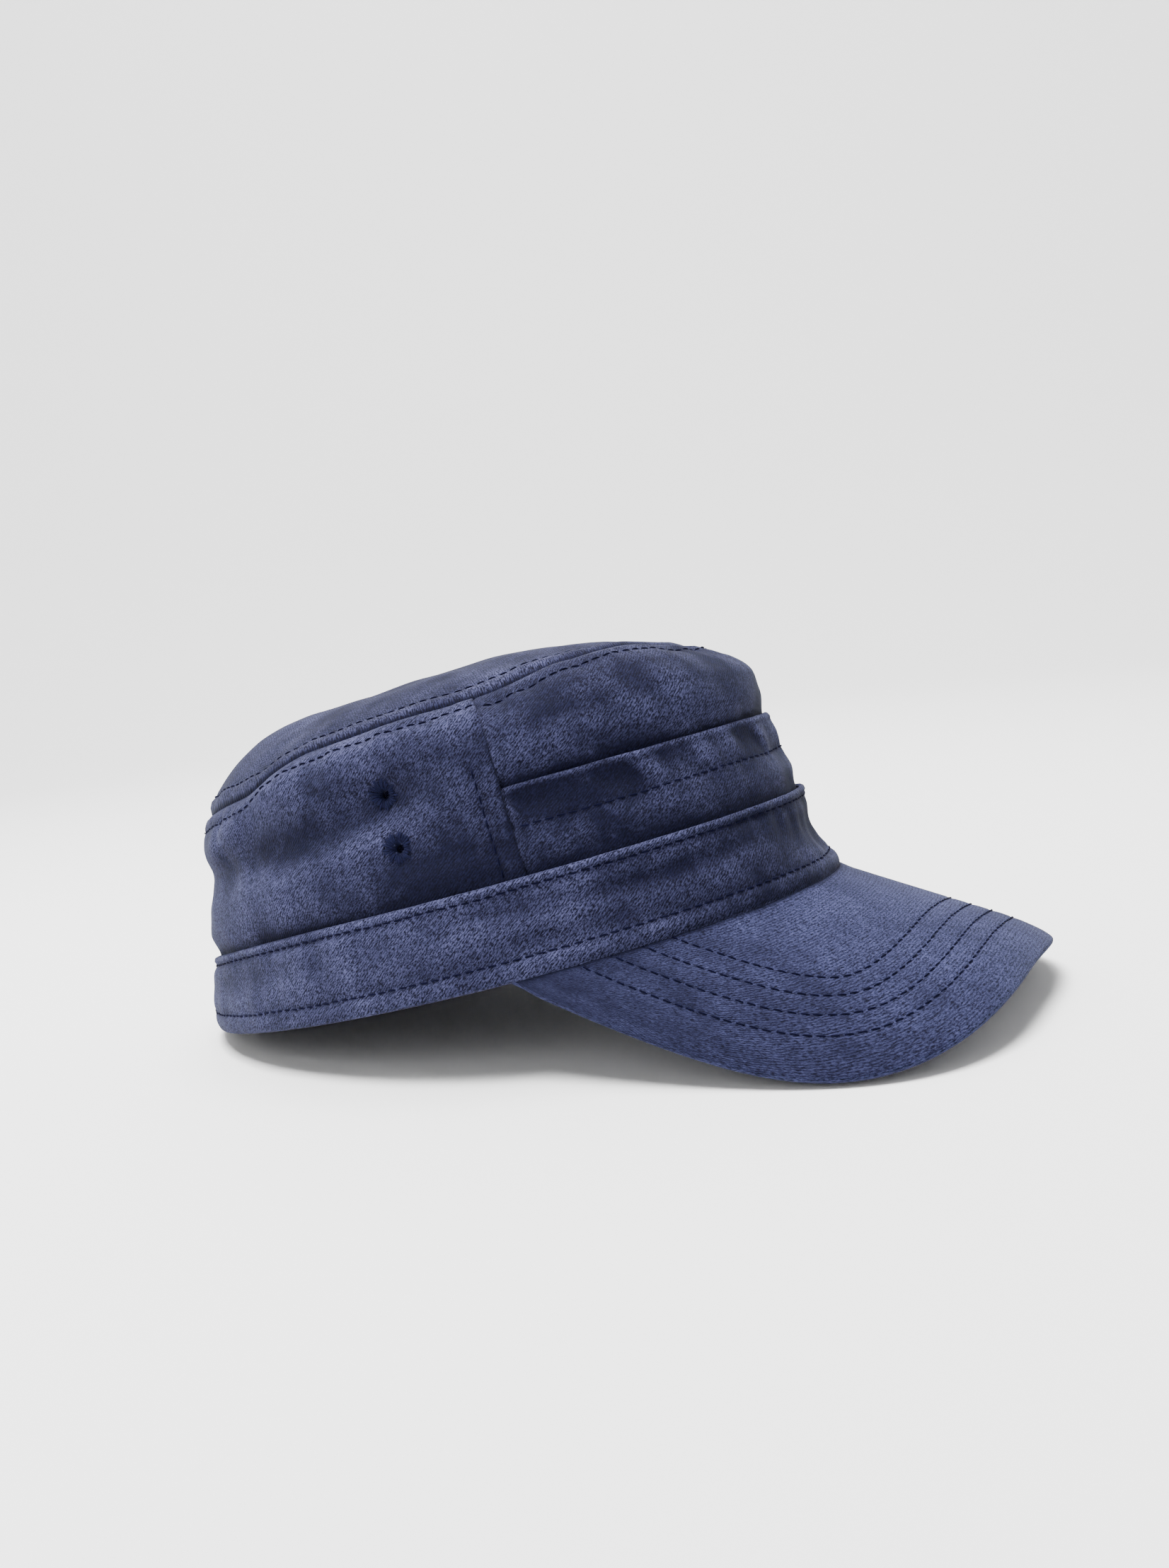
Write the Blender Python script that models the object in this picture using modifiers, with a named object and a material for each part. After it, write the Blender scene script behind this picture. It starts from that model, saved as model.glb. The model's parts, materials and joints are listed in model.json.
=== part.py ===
"""Field cap in washed twill: an oval crown of sewn panels, a folded band and a curved brim.

The cap is modelled level, with the band's bottom rim in the plane z = 0, the front towards -Y
and the wearer's left towards +X. One empty then tips and moves the whole cap so that it rests
on a flat surface the way it does by itself: on the back of the band and on the brim's two
low sides.

An azimuth is an angle round the crown in degrees: 0 at the front, 90 at the wearer's left,
-90 at the wearer's right and 180 at the back.
"""
import math

import bpy
import numpy as np
from mathutils import Matrix, Vector

MM = 0.001

# Overall sizes of the cap, in metres
HEAD_WIDTH = 164 * MM
HEAD_FRONT = 101 * MM
HEAD_BACK = 107 * MM
BAND_HEIGHT = 26 * MM
BAND_BACK_DROP = 5 * MM
CROWN_RISE = 61.7 * MM
BRIM_REACH = 52.9 * MM
BRIM_FLARE = 1.4 * MM

# Cloth and clearances
PANEL_WALL = 1.2 * MM
BAND_WALL = 1.6 * MM
BRIM_WALL = 2.2 * MM
GAP = 0.3 * MM
TOP_SEAM_GAP = 0.7 * MM

# The tuck across the front, and how far a hidden edge runs behind the piece in front of it
TUCK_RISE = 23.5 * MM
TUCK_DEPTH = 10.5 * MM
HIDDEN_EDGE = 6 * MM
STEP_FADE = 7 * MM

# Shares of a wall's or the band's height over which a dent or crease fades towards an edge
DENT_FADE = 0.2
CREASE_FADE_DOWN = 0.4
CREASE_FADE_UP = 0.5

# The seams between the front and the sides, and the brim's corners, in degrees
SIDE_SEAM_AZIMUTH = 61
BRIM_CORNER_AZIMUTH = 68.5
BRIM_SLOPE = 29.3
BRIM_SIDE_FULLNESS = 2.6
BRIM_FRONT_FULLNESS = 4.8

# Sewn eyelets
EYELET_RADIUS = 4.25 * MM
EYELET_HOLE_RADIUS = 1.1 * MM
EYELET_NECK = 0.7 * MM
EYELET_HEIGHT = 0.7 * MM
EYELET_SEAT = 0.5 * MM
EYELET_SIDES = 12

# Fineness of the faceted surfaces
RING_COLUMNS = 64
FRONT_COLUMNS = 24
SIDE_COLUMNS = 24
BRIM_COLUMNS = 32
BRIM_ROWS = 8
EDGE_SAMPLES = 1500


def table(columns, *rows):
    """Read rows of numbers under named columns as one array for each column."""
    return dict(zip(columns.split(), np.array(rows, dtype=float).T))


# The band: height as a share of the band, reach as a share of the head oval
BAND = table(
    "height reach",
    (0.00, 1.000),
    (0.14, 1.000),
    (0.45, 0.988),
    (0.75, 0.971),
    (0.90, 0.957),
    (1.00, 0.957),
)

# The top seam: reach as a share of the head oval, rise as a share of the crown
TOP_SEAM = table(
    "azimuth reach rise",
    (-180, 0.850, 0.632),
    (-135, 0.850, 0.645),
    (-116, 0.846, 0.675),
    (-107, 0.820, 0.735),
    (-98, 0.795, 0.778),
    (-80, 0.785, 0.792),
    (-60, 0.775, 0.800),
    (-40, 0.745, 0.850),
    (-22, 0.735, 0.850),
    (0, 0.750, 0.790),
    (22, 0.757, 0.755),
    (45, 0.765, 0.785),
    (80, 0.785, 0.790),
    (105, 0.815, 0.740),
    (135, 0.845, 0.655),
    (180, 0.850, 0.632),
)

# The wall between band and top seam: climb from one to the other, and how far it has leaned in
WALL = table(
    "climb front side back",
    (0.00, 0.00, 0.00, 0.00),
    (0.15, 0.09, 0.07, 0.08),
    (0.30, 0.19, 0.14, 0.34),
    (0.45, 0.22, 0.19, 0.62),
    (0.60, 0.20, 0.22, 0.66),
    (0.75, 0.24, 0.29, 0.70),
    (0.88, 0.48, 0.51, 0.83),
    (0.94, 0.70, 0.74, 0.91),
    (1.00, 1.00, 1.00, 1.00),
)

# The top: way in from the seam to the middle, and share of the dome reached there
DOME = table(
    "inward front side back",
    (0.00, 0.000, 0.000, 0.000),
    (0.04, 0.090, 0.130, 0.300),
    (0.10, 0.215, 0.290, 0.560),
    (0.18, 0.390, 0.480, 0.760),
    (0.28, 0.565, 0.660, 0.890),
    (0.40, 0.720, 0.790, 0.950),
    (0.55, 0.850, 0.885, 0.980),
    (0.75, 0.950, 0.960, 0.995),
    (1.00, 1.000, 1.000, 1.000),
)

# Soft dents: place, half width in degrees, half height as a share of the crown,
# and depth as a share of the head's width
DENTS = table(
    "azimuth rise half_width half_height depth",
    (-83, 0.47, 9, 0.13, 0.016),
    (-113, 0.57, 7, 0.12, 0.010),
    (-150, 0.34, 26, 0.05, 0.010),
    (-30, 0.62, 14, 0.10, 0.005),
    (40, 0.60, 14, 0.10, 0.006),
    (86, 0.42, 12, 0.12, 0.010),
    (142, 0.36, 22, 0.05, 0.007),
)

# Creases pressed into the band: place, half width in degrees, and depth as a share of its height
BAND_CREASES = table(
    "azimuth half_width depth",
    (18, 17, 0.110),
    (-48, 20, 0.035),
    (60, 24, 0.040),
)

# Eyelets: azimuth, and rise as a share of the crown
EYELETS = {
    "eyelet_right_upper": (-82.0, 0.487),
    "eyelet_right_lower": (-81.0, 0.253),
    "eyelet_left_upper": (82.0, 0.487),
    "eyelet_left_lower": (81.0, 0.253),
}

# Twill colours in linear light: the crown, the paler worn brim and the darker thread
CROWN_CLOTH = (0.068, 0.084, 0.170)
BRIM_CLOTH = (0.088, 0.108, 0.205)
THREAD = (0.018, 0.023, 0.075)


def through(x, known_x, known_y):
    """Smooth curve through the rows of a table that never overshoots them."""
    step = np.diff(known_x)
    slope = np.diff(known_y) / step
    inner = np.where(slope[:-1] * slope[1:] > 0,
                     2 * slope[:-1] * slope[1:] / (slope[:-1] + slope[1:] + 1e-12), 0.0)
    tangent = np.concatenate(([slope[0]], inner, [slope[-1]]))
    x = np.clip(x, known_x[0], known_x[-1])
    row = np.clip(np.searchsorted(known_x, x, side="right") - 1, 0, len(step) - 1)
    t = (x - known_x[row]) / step[row]
    return (known_y[row] * (1 + 2 * t) * (1 - t) ** 2 + known_y[row + 1] * t * t * (3 - 2 * t)
            + step[row] * t * (1 - t) * (tangent[row] * (1 - t) - tangent[row + 1] * t))


def eased(share):
    """Ease from 0 to 1 with no kink at either end."""
    share = np.clip(share, 0.0, 1.0)
    return share * share * (3 - 2 * share)


def round_the_head(azimuth, front, side, back):
    """Blend three profiles round the crown, from the front over the sides to the back."""
    forward = np.cos(np.radians(azimuth))
    return side + (np.where(forward > 0, front, back) - side) * forward ** 2


def profile(rows, axis, at, azimuth):
    """Read the front, side and back columns of a table and blend them round the crown."""
    columns = (through(at, rows[axis], rows[name]) for name in ("front", "side", "back"))
    return round_the_head(azimuth, *columns)


def on_oval(azimuth, reach, height, inset=0.0):
    """Point at a share of the head oval, moved in by an inset along the oval's normal.

    The oval is half an ellipse in front and a slightly longer half behind.
    """
    angle = np.radians(azimuth)
    across, along = np.sin(angle), -np.cos(angle)
    half_length = np.where(along < 0, HEAD_FRONT, HEAD_BACK)
    normal_x, normal_y = across / (HEAD_WIDTH / 2), along / half_length
    inset = inset / np.hypot(normal_x, normal_y)
    x = reach * HEAD_WIDTH / 2 * across - inset * normal_x
    y = reach * half_length * along - inset * normal_y
    return np.stack(np.broadcast_arrays(x, y, height), axis=-1)


def turn_from(azimuth, where):
    """Signed angle from one azimuth to another the short way round."""
    return (azimuth - where + 180) % 360 - 180


def band_top(azimuth):
    """Height of the band's folded top edge, which is lower at the back."""
    return BAND_HEIGHT - round_the_head(azimuth, 0.0, 0.0, BAND_BACK_DROP)


def dent_depth(azimuth, rise):
    """Sum of the soft dents at a place on the crown wall, as an inset in metres."""
    depth = 0.0
    for where, high, half_width, half_height, share in zip(*DENTS.values()):
        away = turn_from(azimuth, where) / half_width
        above = (rise - high) / half_height
        depth = depth + share * HEAD_WIDTH * np.exp(-0.5 * (away ** 2 + above ** 2))
    return depth


def crease_depth(azimuth, share):
    """Inset of the band's creases, deepest a little under its middle and none at its edges."""
    depth = 0.0
    for where, half_width, deep in zip(*BAND_CREASES.values()):
        away = turn_from(azimuth, where) / half_width
        depth = depth + deep * BAND_HEIGHT * np.exp(-0.5 * away ** 2)
    return depth * eased(share / CREASE_FADE_DOWN) * eased((1 - share) / CREASE_FADE_UP)


def top_seam(azimuth):
    """Reach and height of the seam that joins the walls to the top."""
    around = turn_from(azimuth, 0.0)
    reach = through(around, TOP_SEAM["azimuth"], TOP_SEAM["reach"])
    rise = through(around, TOP_SEAM["azimuth"], TOP_SEAM["rise"])
    return reach, BAND_HEIGHT + rise * CROWN_RISE


def crown_wall(azimuth, height, tucked=False):
    """Outer face of the crown wall, which comes out from behind the band's top edge.

    A tucked wall also lies behind the front's lower piece, up to the tuck's edge.
    """
    seam_reach, seam_height = top_seam(azimuth)
    edge = band_top(azimuth)
    climb = (height - edge) / (seam_height - edge)
    lean = profile(WALL, "climb", climb, azimuth)
    start = BAND["reach"][-1]
    reach = start - (start - seam_reach) * lean
    dent = dent_depth(azimuth, (height - BAND_HEIGHT) / CROWN_RISE)
    inset = dent * eased(climb / DENT_FADE) * eased((1 - climb) / DENT_FADE)
    inset = inset + (BAND_WALL + GAP) * (1 - eased((height - edge) / STEP_FADE))
    inset = inset + crease_depth(azimuth, height / edge)
    if tucked:
        over_tuck = (height - BAND_HEIGHT - TUCK_RISE) / STEP_FADE
        inset = inset + (PANEL_WALL + GAP) * (1 - eased(over_tuck))
    return on_oval(azimuth, reach, height, inset)


def wall_end(azimuth):
    """Height at which a wall stops so that it stays clear of the top panel."""
    return top_seam(azimuth)[1] - TOP_SEAM_GAP / 2


def rows_between(low, high, shares):
    """Heights of a panel's rows, at shares of the way from its low edge to its high edge."""
    return low + np.array(shares)[:, None] * (high - low)


def grid_mesh(name, points, closed=False, pole=None):
    """Mesh of a grid of points, one row after another, closed round and at a pole if asked."""
    rows, columns = points.shape[:2]
    index = np.arange(rows * columns).reshape(rows, columns)
    along = np.concatenate((index, index[:, :1]), axis=1) if closed else index
    faces = np.stack((along[:-1, :-1], along[:-1, 1:], along[1:, 1:], along[1:, :-1]), axis=-1)
    faces = faces.reshape(-1, 4).tolist()
    vertices = points.reshape(-1, 3)
    if pole is not None:
        vertices = np.vstack((vertices, pole))
        last = along[-1]
        faces += [(int(a), int(b), rows * columns) for a, b in zip(last[:-1], last[1:])]
    mesh = bpy.data.meshes.new(name)
    mesh.from_pydata(vertices.tolist(), [], faces)
    return mesh


def cloth_material(name, colour, roughness):
    """Plain Principled material in the colour of the piece."""
    material = bpy.data.materials.new(name)
    material.use_nodes = True
    shader = material.node_tree.nodes["Principled BSDF"]
    shader.inputs["Base Color"].default_value = (*colour, 1.0)
    shader.inputs["Roughness"].default_value = roughness
    shader.inputs["Metallic"].default_value = 0.0
    material.diffuse_color = (*colour, 1.0)
    return material


def add_piece(collection, mesh, colour, parent, roughness=0.9):
    """Place a mesh in the cap as a named piece with its own material."""
    piece = bpy.data.objects.new(mesh.name, mesh)
    mesh.materials.append(cloth_material(mesh.name + "_cloth", colour, roughness))
    mesh.polygons.foreach_set("use_smooth", [True] * len(mesh.polygons))
    collection.objects.link(piece)
    piece.parent = parent
    return piece


def add_wall(piece, thickness):
    """Give an outer face its thickness, inwards."""
    wall = piece.modifiers.new("wall", "SOLIDIFY")
    wall.thickness = thickness
    wall.offset = -1.0


def panel_azimuths(start, end, count):
    """Azimuths across a panel that keep half a gap clear at both of its side edges."""
    margin = math.degrees(GAP / (HEAD_WIDTH / 2)) / 2
    return np.linspace(start + margin, end - margin, count + 1)


def make_band(collection, parent):
    azimuth = np.linspace(-180, 180, RING_COLUMNS + 1)[None, :-1]
    share = BAND["height"][:, None]
    inset = crease_depth(azimuth, share)
    points = on_oval(azimuth, BAND["reach"][:, None], share * band_top(azimuth), inset)
    band = add_piece(collection, grid_mesh("band", points, closed=True), CROWN_CLOTH, parent)
    add_wall(band, BAND_WALL)


def make_side_panel(collection, parent, name, start, end):
    """Wall panel from one of the front seams round to the middle of the back."""
    azimuth = panel_azimuths(start, end, SIDE_COLUMNS)[None, :]
    shares = [0.0, 0.10, 0.22, 0.34, 0.46, 0.58, 0.70, 0.80, 0.89, 0.95, 1.0]
    edge = band_top(azimuth)
    height = np.vstack((edge - HIDDEN_EDGE, rows_between(edge, wall_end(azimuth), shares)))
    points = crown_wall(azimuth, height)
    panel = add_piece(collection, grid_mesh(name, points), CROWN_CLOTH, parent)
    add_wall(panel, PANEL_WALL)
    return panel


def make_front(collection, parent):
    """Front panel in two pieces: the folded lower one laps over the upper one at the tuck."""
    azimuth = panel_azimuths(-SIDE_SEAM_AZIMUTH, SIDE_SEAM_AZIMUTH, FRONT_COLUMNS)[None, :]
    edge = band_top(azimuth)
    shares = [0.0, 0.2, 0.4, 0.6, 0.8, 1.0]
    height = np.vstack((edge - HIDDEN_EDGE, rows_between(edge, edge + TUCK_RISE, shares)))
    points = crown_wall(azimuth, height)
    lower = add_piece(collection, grid_mesh("front_lower", points), CROWN_CLOTH, parent)
    add_wall(lower, PANEL_WALL)

    shares = [0.0, 0.14, 0.28, 0.42, 0.56, 0.70, 0.84, 0.93, 1.0]
    height = rows_between(edge + TUCK_RISE - TUCK_DEPTH, wall_end(azimuth), shares)
    points = crown_wall(azimuth, height, tucked=True)
    upper = add_piece(collection, grid_mesh("front_upper", points), CROWN_CLOTH, parent)
    add_wall(upper, PANEL_WALL)


def make_top(collection, parent):
    """Domed oval top whose edge meets the walls at the top seam."""
    azimuth = np.linspace(-180, 180, RING_COLUMNS + 1)[None, :-1]
    seam_reach, seam_height = top_seam(azimuth)
    crest = BAND_HEIGHT + CROWN_RISE
    first = TOP_SEAM_GAP / 2 / (seam_reach * HEAD_WIDTH / 2)
    inward = np.maximum(DOME["inward"][:-1, None], first)
    lift = profile(DOME, "inward", inward, azimuth)
    height = seam_height + lift * (crest - seam_height)
    points = on_oval(azimuth, seam_reach * (1 - inward), height)
    pole = (0.0, 0.0, crest)
    top = add_piece(collection, grid_mesh("top_panel", points, True, pole), CROWN_CLOTH, parent)
    add_wall(top, PANEL_WALL)


def brim_height(x, y):
    """Height of the brim's upper face.

    Straight lines run forward and down at the brim's slope from the head oval, so the brim
    is a sheet bent one way only, and its inner edge lies in a plane just under the band.
    """
    fall = math.tan(math.radians(BRIM_SLOPE))
    oval = HEAD_FRONT * np.sqrt(1 - np.minimum((x / (HEAD_WIDTH / 2)) ** 2, 1.0))
    return -GAP - fall * (-y - oval)


def evenly(points, count):
    """Points at even steps along a finely sampled line."""
    length = np.concatenate(([0.0], np.cumsum(np.linalg.norm(np.diff(points, axis=0), axis=1))))
    at = np.linspace(0, length[-1], count + 1)
    return np.stack([np.interp(at, length, points[:, axis]) for axis in range(2)], axis=-1)


def brim_outline():
    """Outer edge in plan: a rounded oblong that starts at the corners and flares a little."""
    turn = np.radians(np.linspace(-90, 90, EDGE_SAMPLES))
    corner = math.radians(BRIM_CORNER_AZIMUTH)
    start = HEAD_FRONT * math.cos(corner)
    forward = np.abs(np.cos(turn)) ** (2 / BRIM_FRONT_FULLNESS)
    half_width = HEAD_WIDTH / 2 * math.sin(corner) + BRIM_FLARE * (1 - (1 - forward) ** 6)
    x = half_width * np.sign(turn) * np.abs(np.sin(turn)) ** (2 / BRIM_SIDE_FULLNESS)
    y = -start - forward * (HEAD_FRONT + BRIM_REACH - start)
    return np.stack((x, y), axis=-1)


def make_brim(collection, parent):
    """Curved brim whose inner edge follows the band's rim, with narrow blunt corners."""
    corner = BRIM_CORNER_AZIMUTH - math.degrees(BRIM_WALL / (HEAD_WIDTH / 2))
    azimuth = np.linspace(-corner, corner, EDGE_SAMPLES)
    inner = evenly(on_oval(azimuth, 1.0, 0.0)[:, :2], BRIM_COLUMNS)
    outer = evenly(brim_outline(), BRIM_COLUMNS)
    share = np.linspace(0, 1, BRIM_ROWS + 1)[:, None, None]
    plan = outer + (inner - outer) * share
    height = brim_height(plan[..., 0], plan[..., 1])
    points = np.concatenate((plan, height[..., None]), axis=-1)
    brim = add_piece(collection, grid_mesh("brim", points), BRIM_CLOTH, parent)
    add_wall(brim, BRIM_WALL)
    return brim


def eyelet_frame(azimuth, share):
    """Place on the side wall with its Z axis square to the cloth."""
    turn, lift = 2.0, 0.03 * CROWN_RISE
    height = BAND_HEIGHT + share * CROWN_RISE
    steps = [(0, 0), (turn, 0), (-turn, 0), (0, lift), (0, -lift)]
    points = [Vector(crown_wall(np.array(azimuth + a), height + up)) for a, up in steps]
    normal = (points[1] - points[2]).cross(points[3] - points[4]).normalized()
    return Matrix.Translation(points[0]) @ normal.to_track_quat("Z", "Y").to_matrix().to_4x4()


def eyelet_mesh(name):
    """Turned ring of thread: a flat collar on the cloth and a neck through its hole."""
    neck = EYELET_HOLE_RADIUS + EYELET_NECK
    outline = [
        (EYELET_HOLE_RADIUS, EYELET_SEAT + 0.6 * EYELET_HEIGHT),
        (neck, EYELET_SEAT + EYELET_HEIGHT),
        (0.8 * EYELET_RADIUS, EYELET_SEAT + 0.85 * EYELET_HEIGHT),
        (EYELET_RADIUS, EYELET_SEAT + 0.25 * EYELET_HEIGHT),
        (EYELET_RADIUS, EYELET_SEAT),
        (neck, EYELET_SEAT),
        (neck, -PANEL_WALL),
        (EYELET_HOLE_RADIUS, -PANEL_WALL),
    ]
    turn = np.linspace(0, 2 * math.pi, EYELET_SIDES + 1)[:-1]
    radius, height = np.array(outline + outline[:1]).T[:, :, None]
    ring = np.stack((radius * np.cos(turn), radius * np.sin(turn), height + 0 * turn), axis=-1)
    return grid_mesh(name, ring[::-1], closed=True)


def make_eyelets(collection, cutters, parent, panels):
    for name, (azimuth, share) in EYELETS.items():
        frame = eyelet_frame(azimuth, share)
        eyelet = add_piece(collection, eyelet_mesh(name), THREAD, parent, roughness=0.7)
        weld = eyelet.modifiers.new("weld", "WELD")
        weld.merge_threshold = 0.00001
        eyelet.matrix_local = frame

        bpy.ops.mesh.primitive_cylinder_add(
            vertices=EYELET_SIDES,
            radius=EYELET_HOLE_RADIUS + EYELET_NECK + GAP,
            depth=6 * PANEL_WALL,
        )
        cutter = bpy.context.object
        cutter.name = name + "_hole"
        for holder in list(cutter.users_collection):
            holder.objects.unlink(cutter)
        cutters.objects.link(cutter)
        cutter.parent = parent
        cutter.matrix_local = frame
        cutter.hide_render = True
        cutter.display_type = "WIRE"

        side = "side_panel_left" if azimuth > 0 else "side_panel_right"
        hole = panels[side].modifiers.new(name + "_hole", "BOOLEAN")
        hole.operation = "DIFFERENCE"
        hole.solver = "EXACT"
        hole.object = cutter


def corners(piece):
    """World positions of a piece's finished vertices."""
    finished = piece.evaluated_get(bpy.context.evaluated_depsgraph_get())
    mesh = finished.to_mesh()
    local = np.empty(len(mesh.vertices) * 3)
    mesh.vertices.foreach_get("co", local)
    finished.to_mesh_clear()
    world = np.array(finished.matrix_world)
    return local.reshape(-1, 3) @ world[:3, :3].T + world[:3, 3]


def rest_on_surface(collection, stand, brim):
    """Tip the cap back until brim and band both touch, then stand its box on the origin."""
    bpy.context.view_layer.update()
    low = corners(brim)
    tip = np.arctan2(-low[:, 2], HEAD_BACK - low[:, 1]).max()
    stand.rotation_euler = (-tip, 0.0, 0.0)
    bpy.context.view_layer.update()
    points = np.vstack([corners(piece) for piece in collection.objects if piece.type == "MESH"])
    lowest, highest = points.min(axis=0), points.max(axis=0)
    middle = (lowest + highest) / 2
    stand.location = (-middle[0], -middle[1], -lowest[2])


def main():
    for thing in list(bpy.data.objects):
        bpy.data.objects.remove(thing, do_unlink=True)

    cap = bpy.data.collections.new("field_cap")
    cutters = bpy.data.collections.new("cutters")
    for collection in (cap, cutters):
        bpy.context.scene.collection.children.link(collection)

    stand = bpy.data.objects.new("cap_stand", None)
    cap.objects.link(stand)

    make_band(cap, stand)
    make_front(cap, stand)
    sides = {
        "side_panel_right": (-180, -SIDE_SEAM_AZIMUTH),
        "side_panel_left": (SIDE_SEAM_AZIMUTH, 180),
    }
    panels = {name: make_side_panel(cap, stand, name, *ends) for name, ends in sides.items()}
    make_top(cap, stand)
    brim = make_brim(cap, stand)
    make_eyelets(cap, cutters, stand, panels)
    rest_on_surface(cap, stand, brim)


main()
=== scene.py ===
"""Field cap in washed twill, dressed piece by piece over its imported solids.

Every surface is first worked out level, with the band's bottom rim in the plane z = 0, the
front towards -Y and the wearer's left towards +X, and is then tipped back the way the packed
cap rests. An azimuth is an angle round the crown in degrees: 0 at the front, 90 at the
wearer's left, -90 at the wearer's right and 180 at the back.
"""
import json
import math

import bpy
import numpy as np
from bpy.props import FloatProperty, FloatVectorProperty, PointerProperty
from mathutils import Euler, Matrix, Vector


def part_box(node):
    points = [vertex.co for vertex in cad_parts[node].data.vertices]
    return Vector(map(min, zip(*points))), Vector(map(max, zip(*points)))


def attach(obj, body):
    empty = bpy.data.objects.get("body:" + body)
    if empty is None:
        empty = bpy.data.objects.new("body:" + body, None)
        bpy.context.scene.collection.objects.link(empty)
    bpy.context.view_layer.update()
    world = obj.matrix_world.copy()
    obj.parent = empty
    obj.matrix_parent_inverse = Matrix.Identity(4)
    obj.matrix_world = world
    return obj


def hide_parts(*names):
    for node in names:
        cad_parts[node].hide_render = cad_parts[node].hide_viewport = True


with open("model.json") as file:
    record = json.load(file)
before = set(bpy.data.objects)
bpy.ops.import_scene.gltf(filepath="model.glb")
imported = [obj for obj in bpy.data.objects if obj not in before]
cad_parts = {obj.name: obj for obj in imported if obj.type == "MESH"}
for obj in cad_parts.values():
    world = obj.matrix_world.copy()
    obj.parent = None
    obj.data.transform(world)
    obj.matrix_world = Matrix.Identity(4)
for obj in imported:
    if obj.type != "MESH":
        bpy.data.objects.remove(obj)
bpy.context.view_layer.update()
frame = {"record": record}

bl_info = {
    "name": "Washed Twill Field Cap",
    "version": (1, 0, 0),
    "blender": (4, 5, 0),
    "location": "3D View > Sidebar > Cap",
    "description": "Builds a sewn field cap in washed twill over its packed frame",
    "category": "Object",
}

MM = 0.001

# Overall sizes of the level cap, in metres
HEAD_WIDTH = 164 * MM
HEAD_FRONT = 101 * MM
HEAD_BACK = 107 * MM
BAND_HEIGHT = 26 * MM
BAND_BACK_DROP = 5 * MM
CROWN_RISE = 61.7 * MM
BRIM_REACH = 52.9 * MM
BRIM_FLARE = 1.4 * MM
BRIM_SLOPE = 29.3
BRIM_CORNER_AZIMUTH = 68.5
BRIM_SIDE_FULLNESS = 2.6
BRIM_FRONT_FULLNESS = 4.8
SIDE_SEAM_AZIMUTH = 61
FRONT_LAP = 1.1

# Cloth
PANEL_WALL = 1.2 * MM
BAND_WALL = 1.6 * MM
BRIM_WALL = 2.2 * MM
GAP = 0.3 * MM
TUCK_RISE = 23.5 * MM
TUCK_DEPTH = 10.5 * MM
HIDDEN_EDGE = 6 * MM
STEP_FADE = 7 * MM
DENT_FADE = 0.2
CREASE_FADE_DOWN = 0.4
CREASE_FADE_UP = 0.5

# Rows of stitches: distance from the hem, the folds and the seams
HEM_ROW = 5.2 * MM
FOLD_ROW = 2.0 * MM
WALL_TOPSTITCH = 5.6 * MM
TOP_TOPSTITCH = 6.0 * MM
SIDE_TOPSTITCH = 6.0 * MM

# At the top seam both cloths turn in by this much over this width
SEAM_CURL = 0.6 * MM
SEAM_CURL_WIDTH = 1.6 * MM

# How much darker than the band's the walls are painted, and how much painted shade darkens
# the top and, towards the front, the walls and the band, in the units of wear
WALL_DARKENING = 0.30
WALL_FRONT_PAINTED_SHADE = 0.62
BAND_FRONT_PAINTED_SHADE = 0.95
TOP_PAINTED_SHADE = 0.60

# How far the top seam wavers, as a share of the crown, and how far a row of stitches does
SEAM_WAVER = 0.008
STITCH_WAVER = 0.28 * MM

# Grids: the width of a cell on the finished cloth, the rough lengths round the crown and
# round the top, the top's rings and how far in the last one is, the points on a rounded
# edge, the sides of a thread, the samples of a line before it is spaced, and the lattice
CELL = 0.85 * MM
CROWN_ROUND = 585 * MM
TOP_ROUND = 460 * MM
TOP_ROWS = 84
TOP_POLE = 0.9965
EDGE_POINTS = 4
THREAD_SIDES = 6
LINE_SAMPLES = 3000
LATTICE = 257


def table(columns, *rows):
    """Rows of numbers under named columns, as one array for each column."""
    return dict(zip(columns.split(), np.array(rows, dtype=float).T))


# The band: height as a share of the band, reach as a share of the head oval
BAND = table(
    "height reach",
    (0.00, 1.000),
    (0.14, 1.000),
    (0.45, 0.988),
    (0.75, 0.971),
    (0.90, 0.957),
    (1.00, 0.957),
)

# The top seam: reach as a share of the head oval, rise as a share of the crown
TOP_SEAM = table(
    "azimuth reach rise",
    (-180, 0.850, 0.632),
    (-135, 0.850, 0.645),
    (-116, 0.846, 0.675),
    (-107, 0.820, 0.735),
    (-98, 0.795, 0.778),
    (-80, 0.785, 0.792),
    (-60, 0.775, 0.800),
    (-40, 0.745, 0.850),
    (-22, 0.735, 0.850),
    (0, 0.750, 0.790),
    (22, 0.757, 0.755),
    (45, 0.765, 0.785),
    (80, 0.785, 0.790),
    (105, 0.815, 0.740),
    (135, 0.845, 0.655),
    (180, 0.850, 0.632),
)

# The wall between band and top seam: climb from one to the other, and how far it has leaned in
WALL = table(
    "climb front side back",
    (0.00, 0.00, 0.00, 0.00),
    (0.15, 0.09, 0.07, 0.08),
    (0.30, 0.19, 0.14, 0.34),
    (0.45, 0.22, 0.19, 0.62),
    (0.60, 0.20, 0.22, 0.66),
    (0.75, 0.24, 0.29, 0.70),
    (0.88, 0.48, 0.51, 0.83),
    (0.94, 0.70, 0.74, 0.91),
    (1.00, 1.00, 1.00, 1.00),
)

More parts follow.
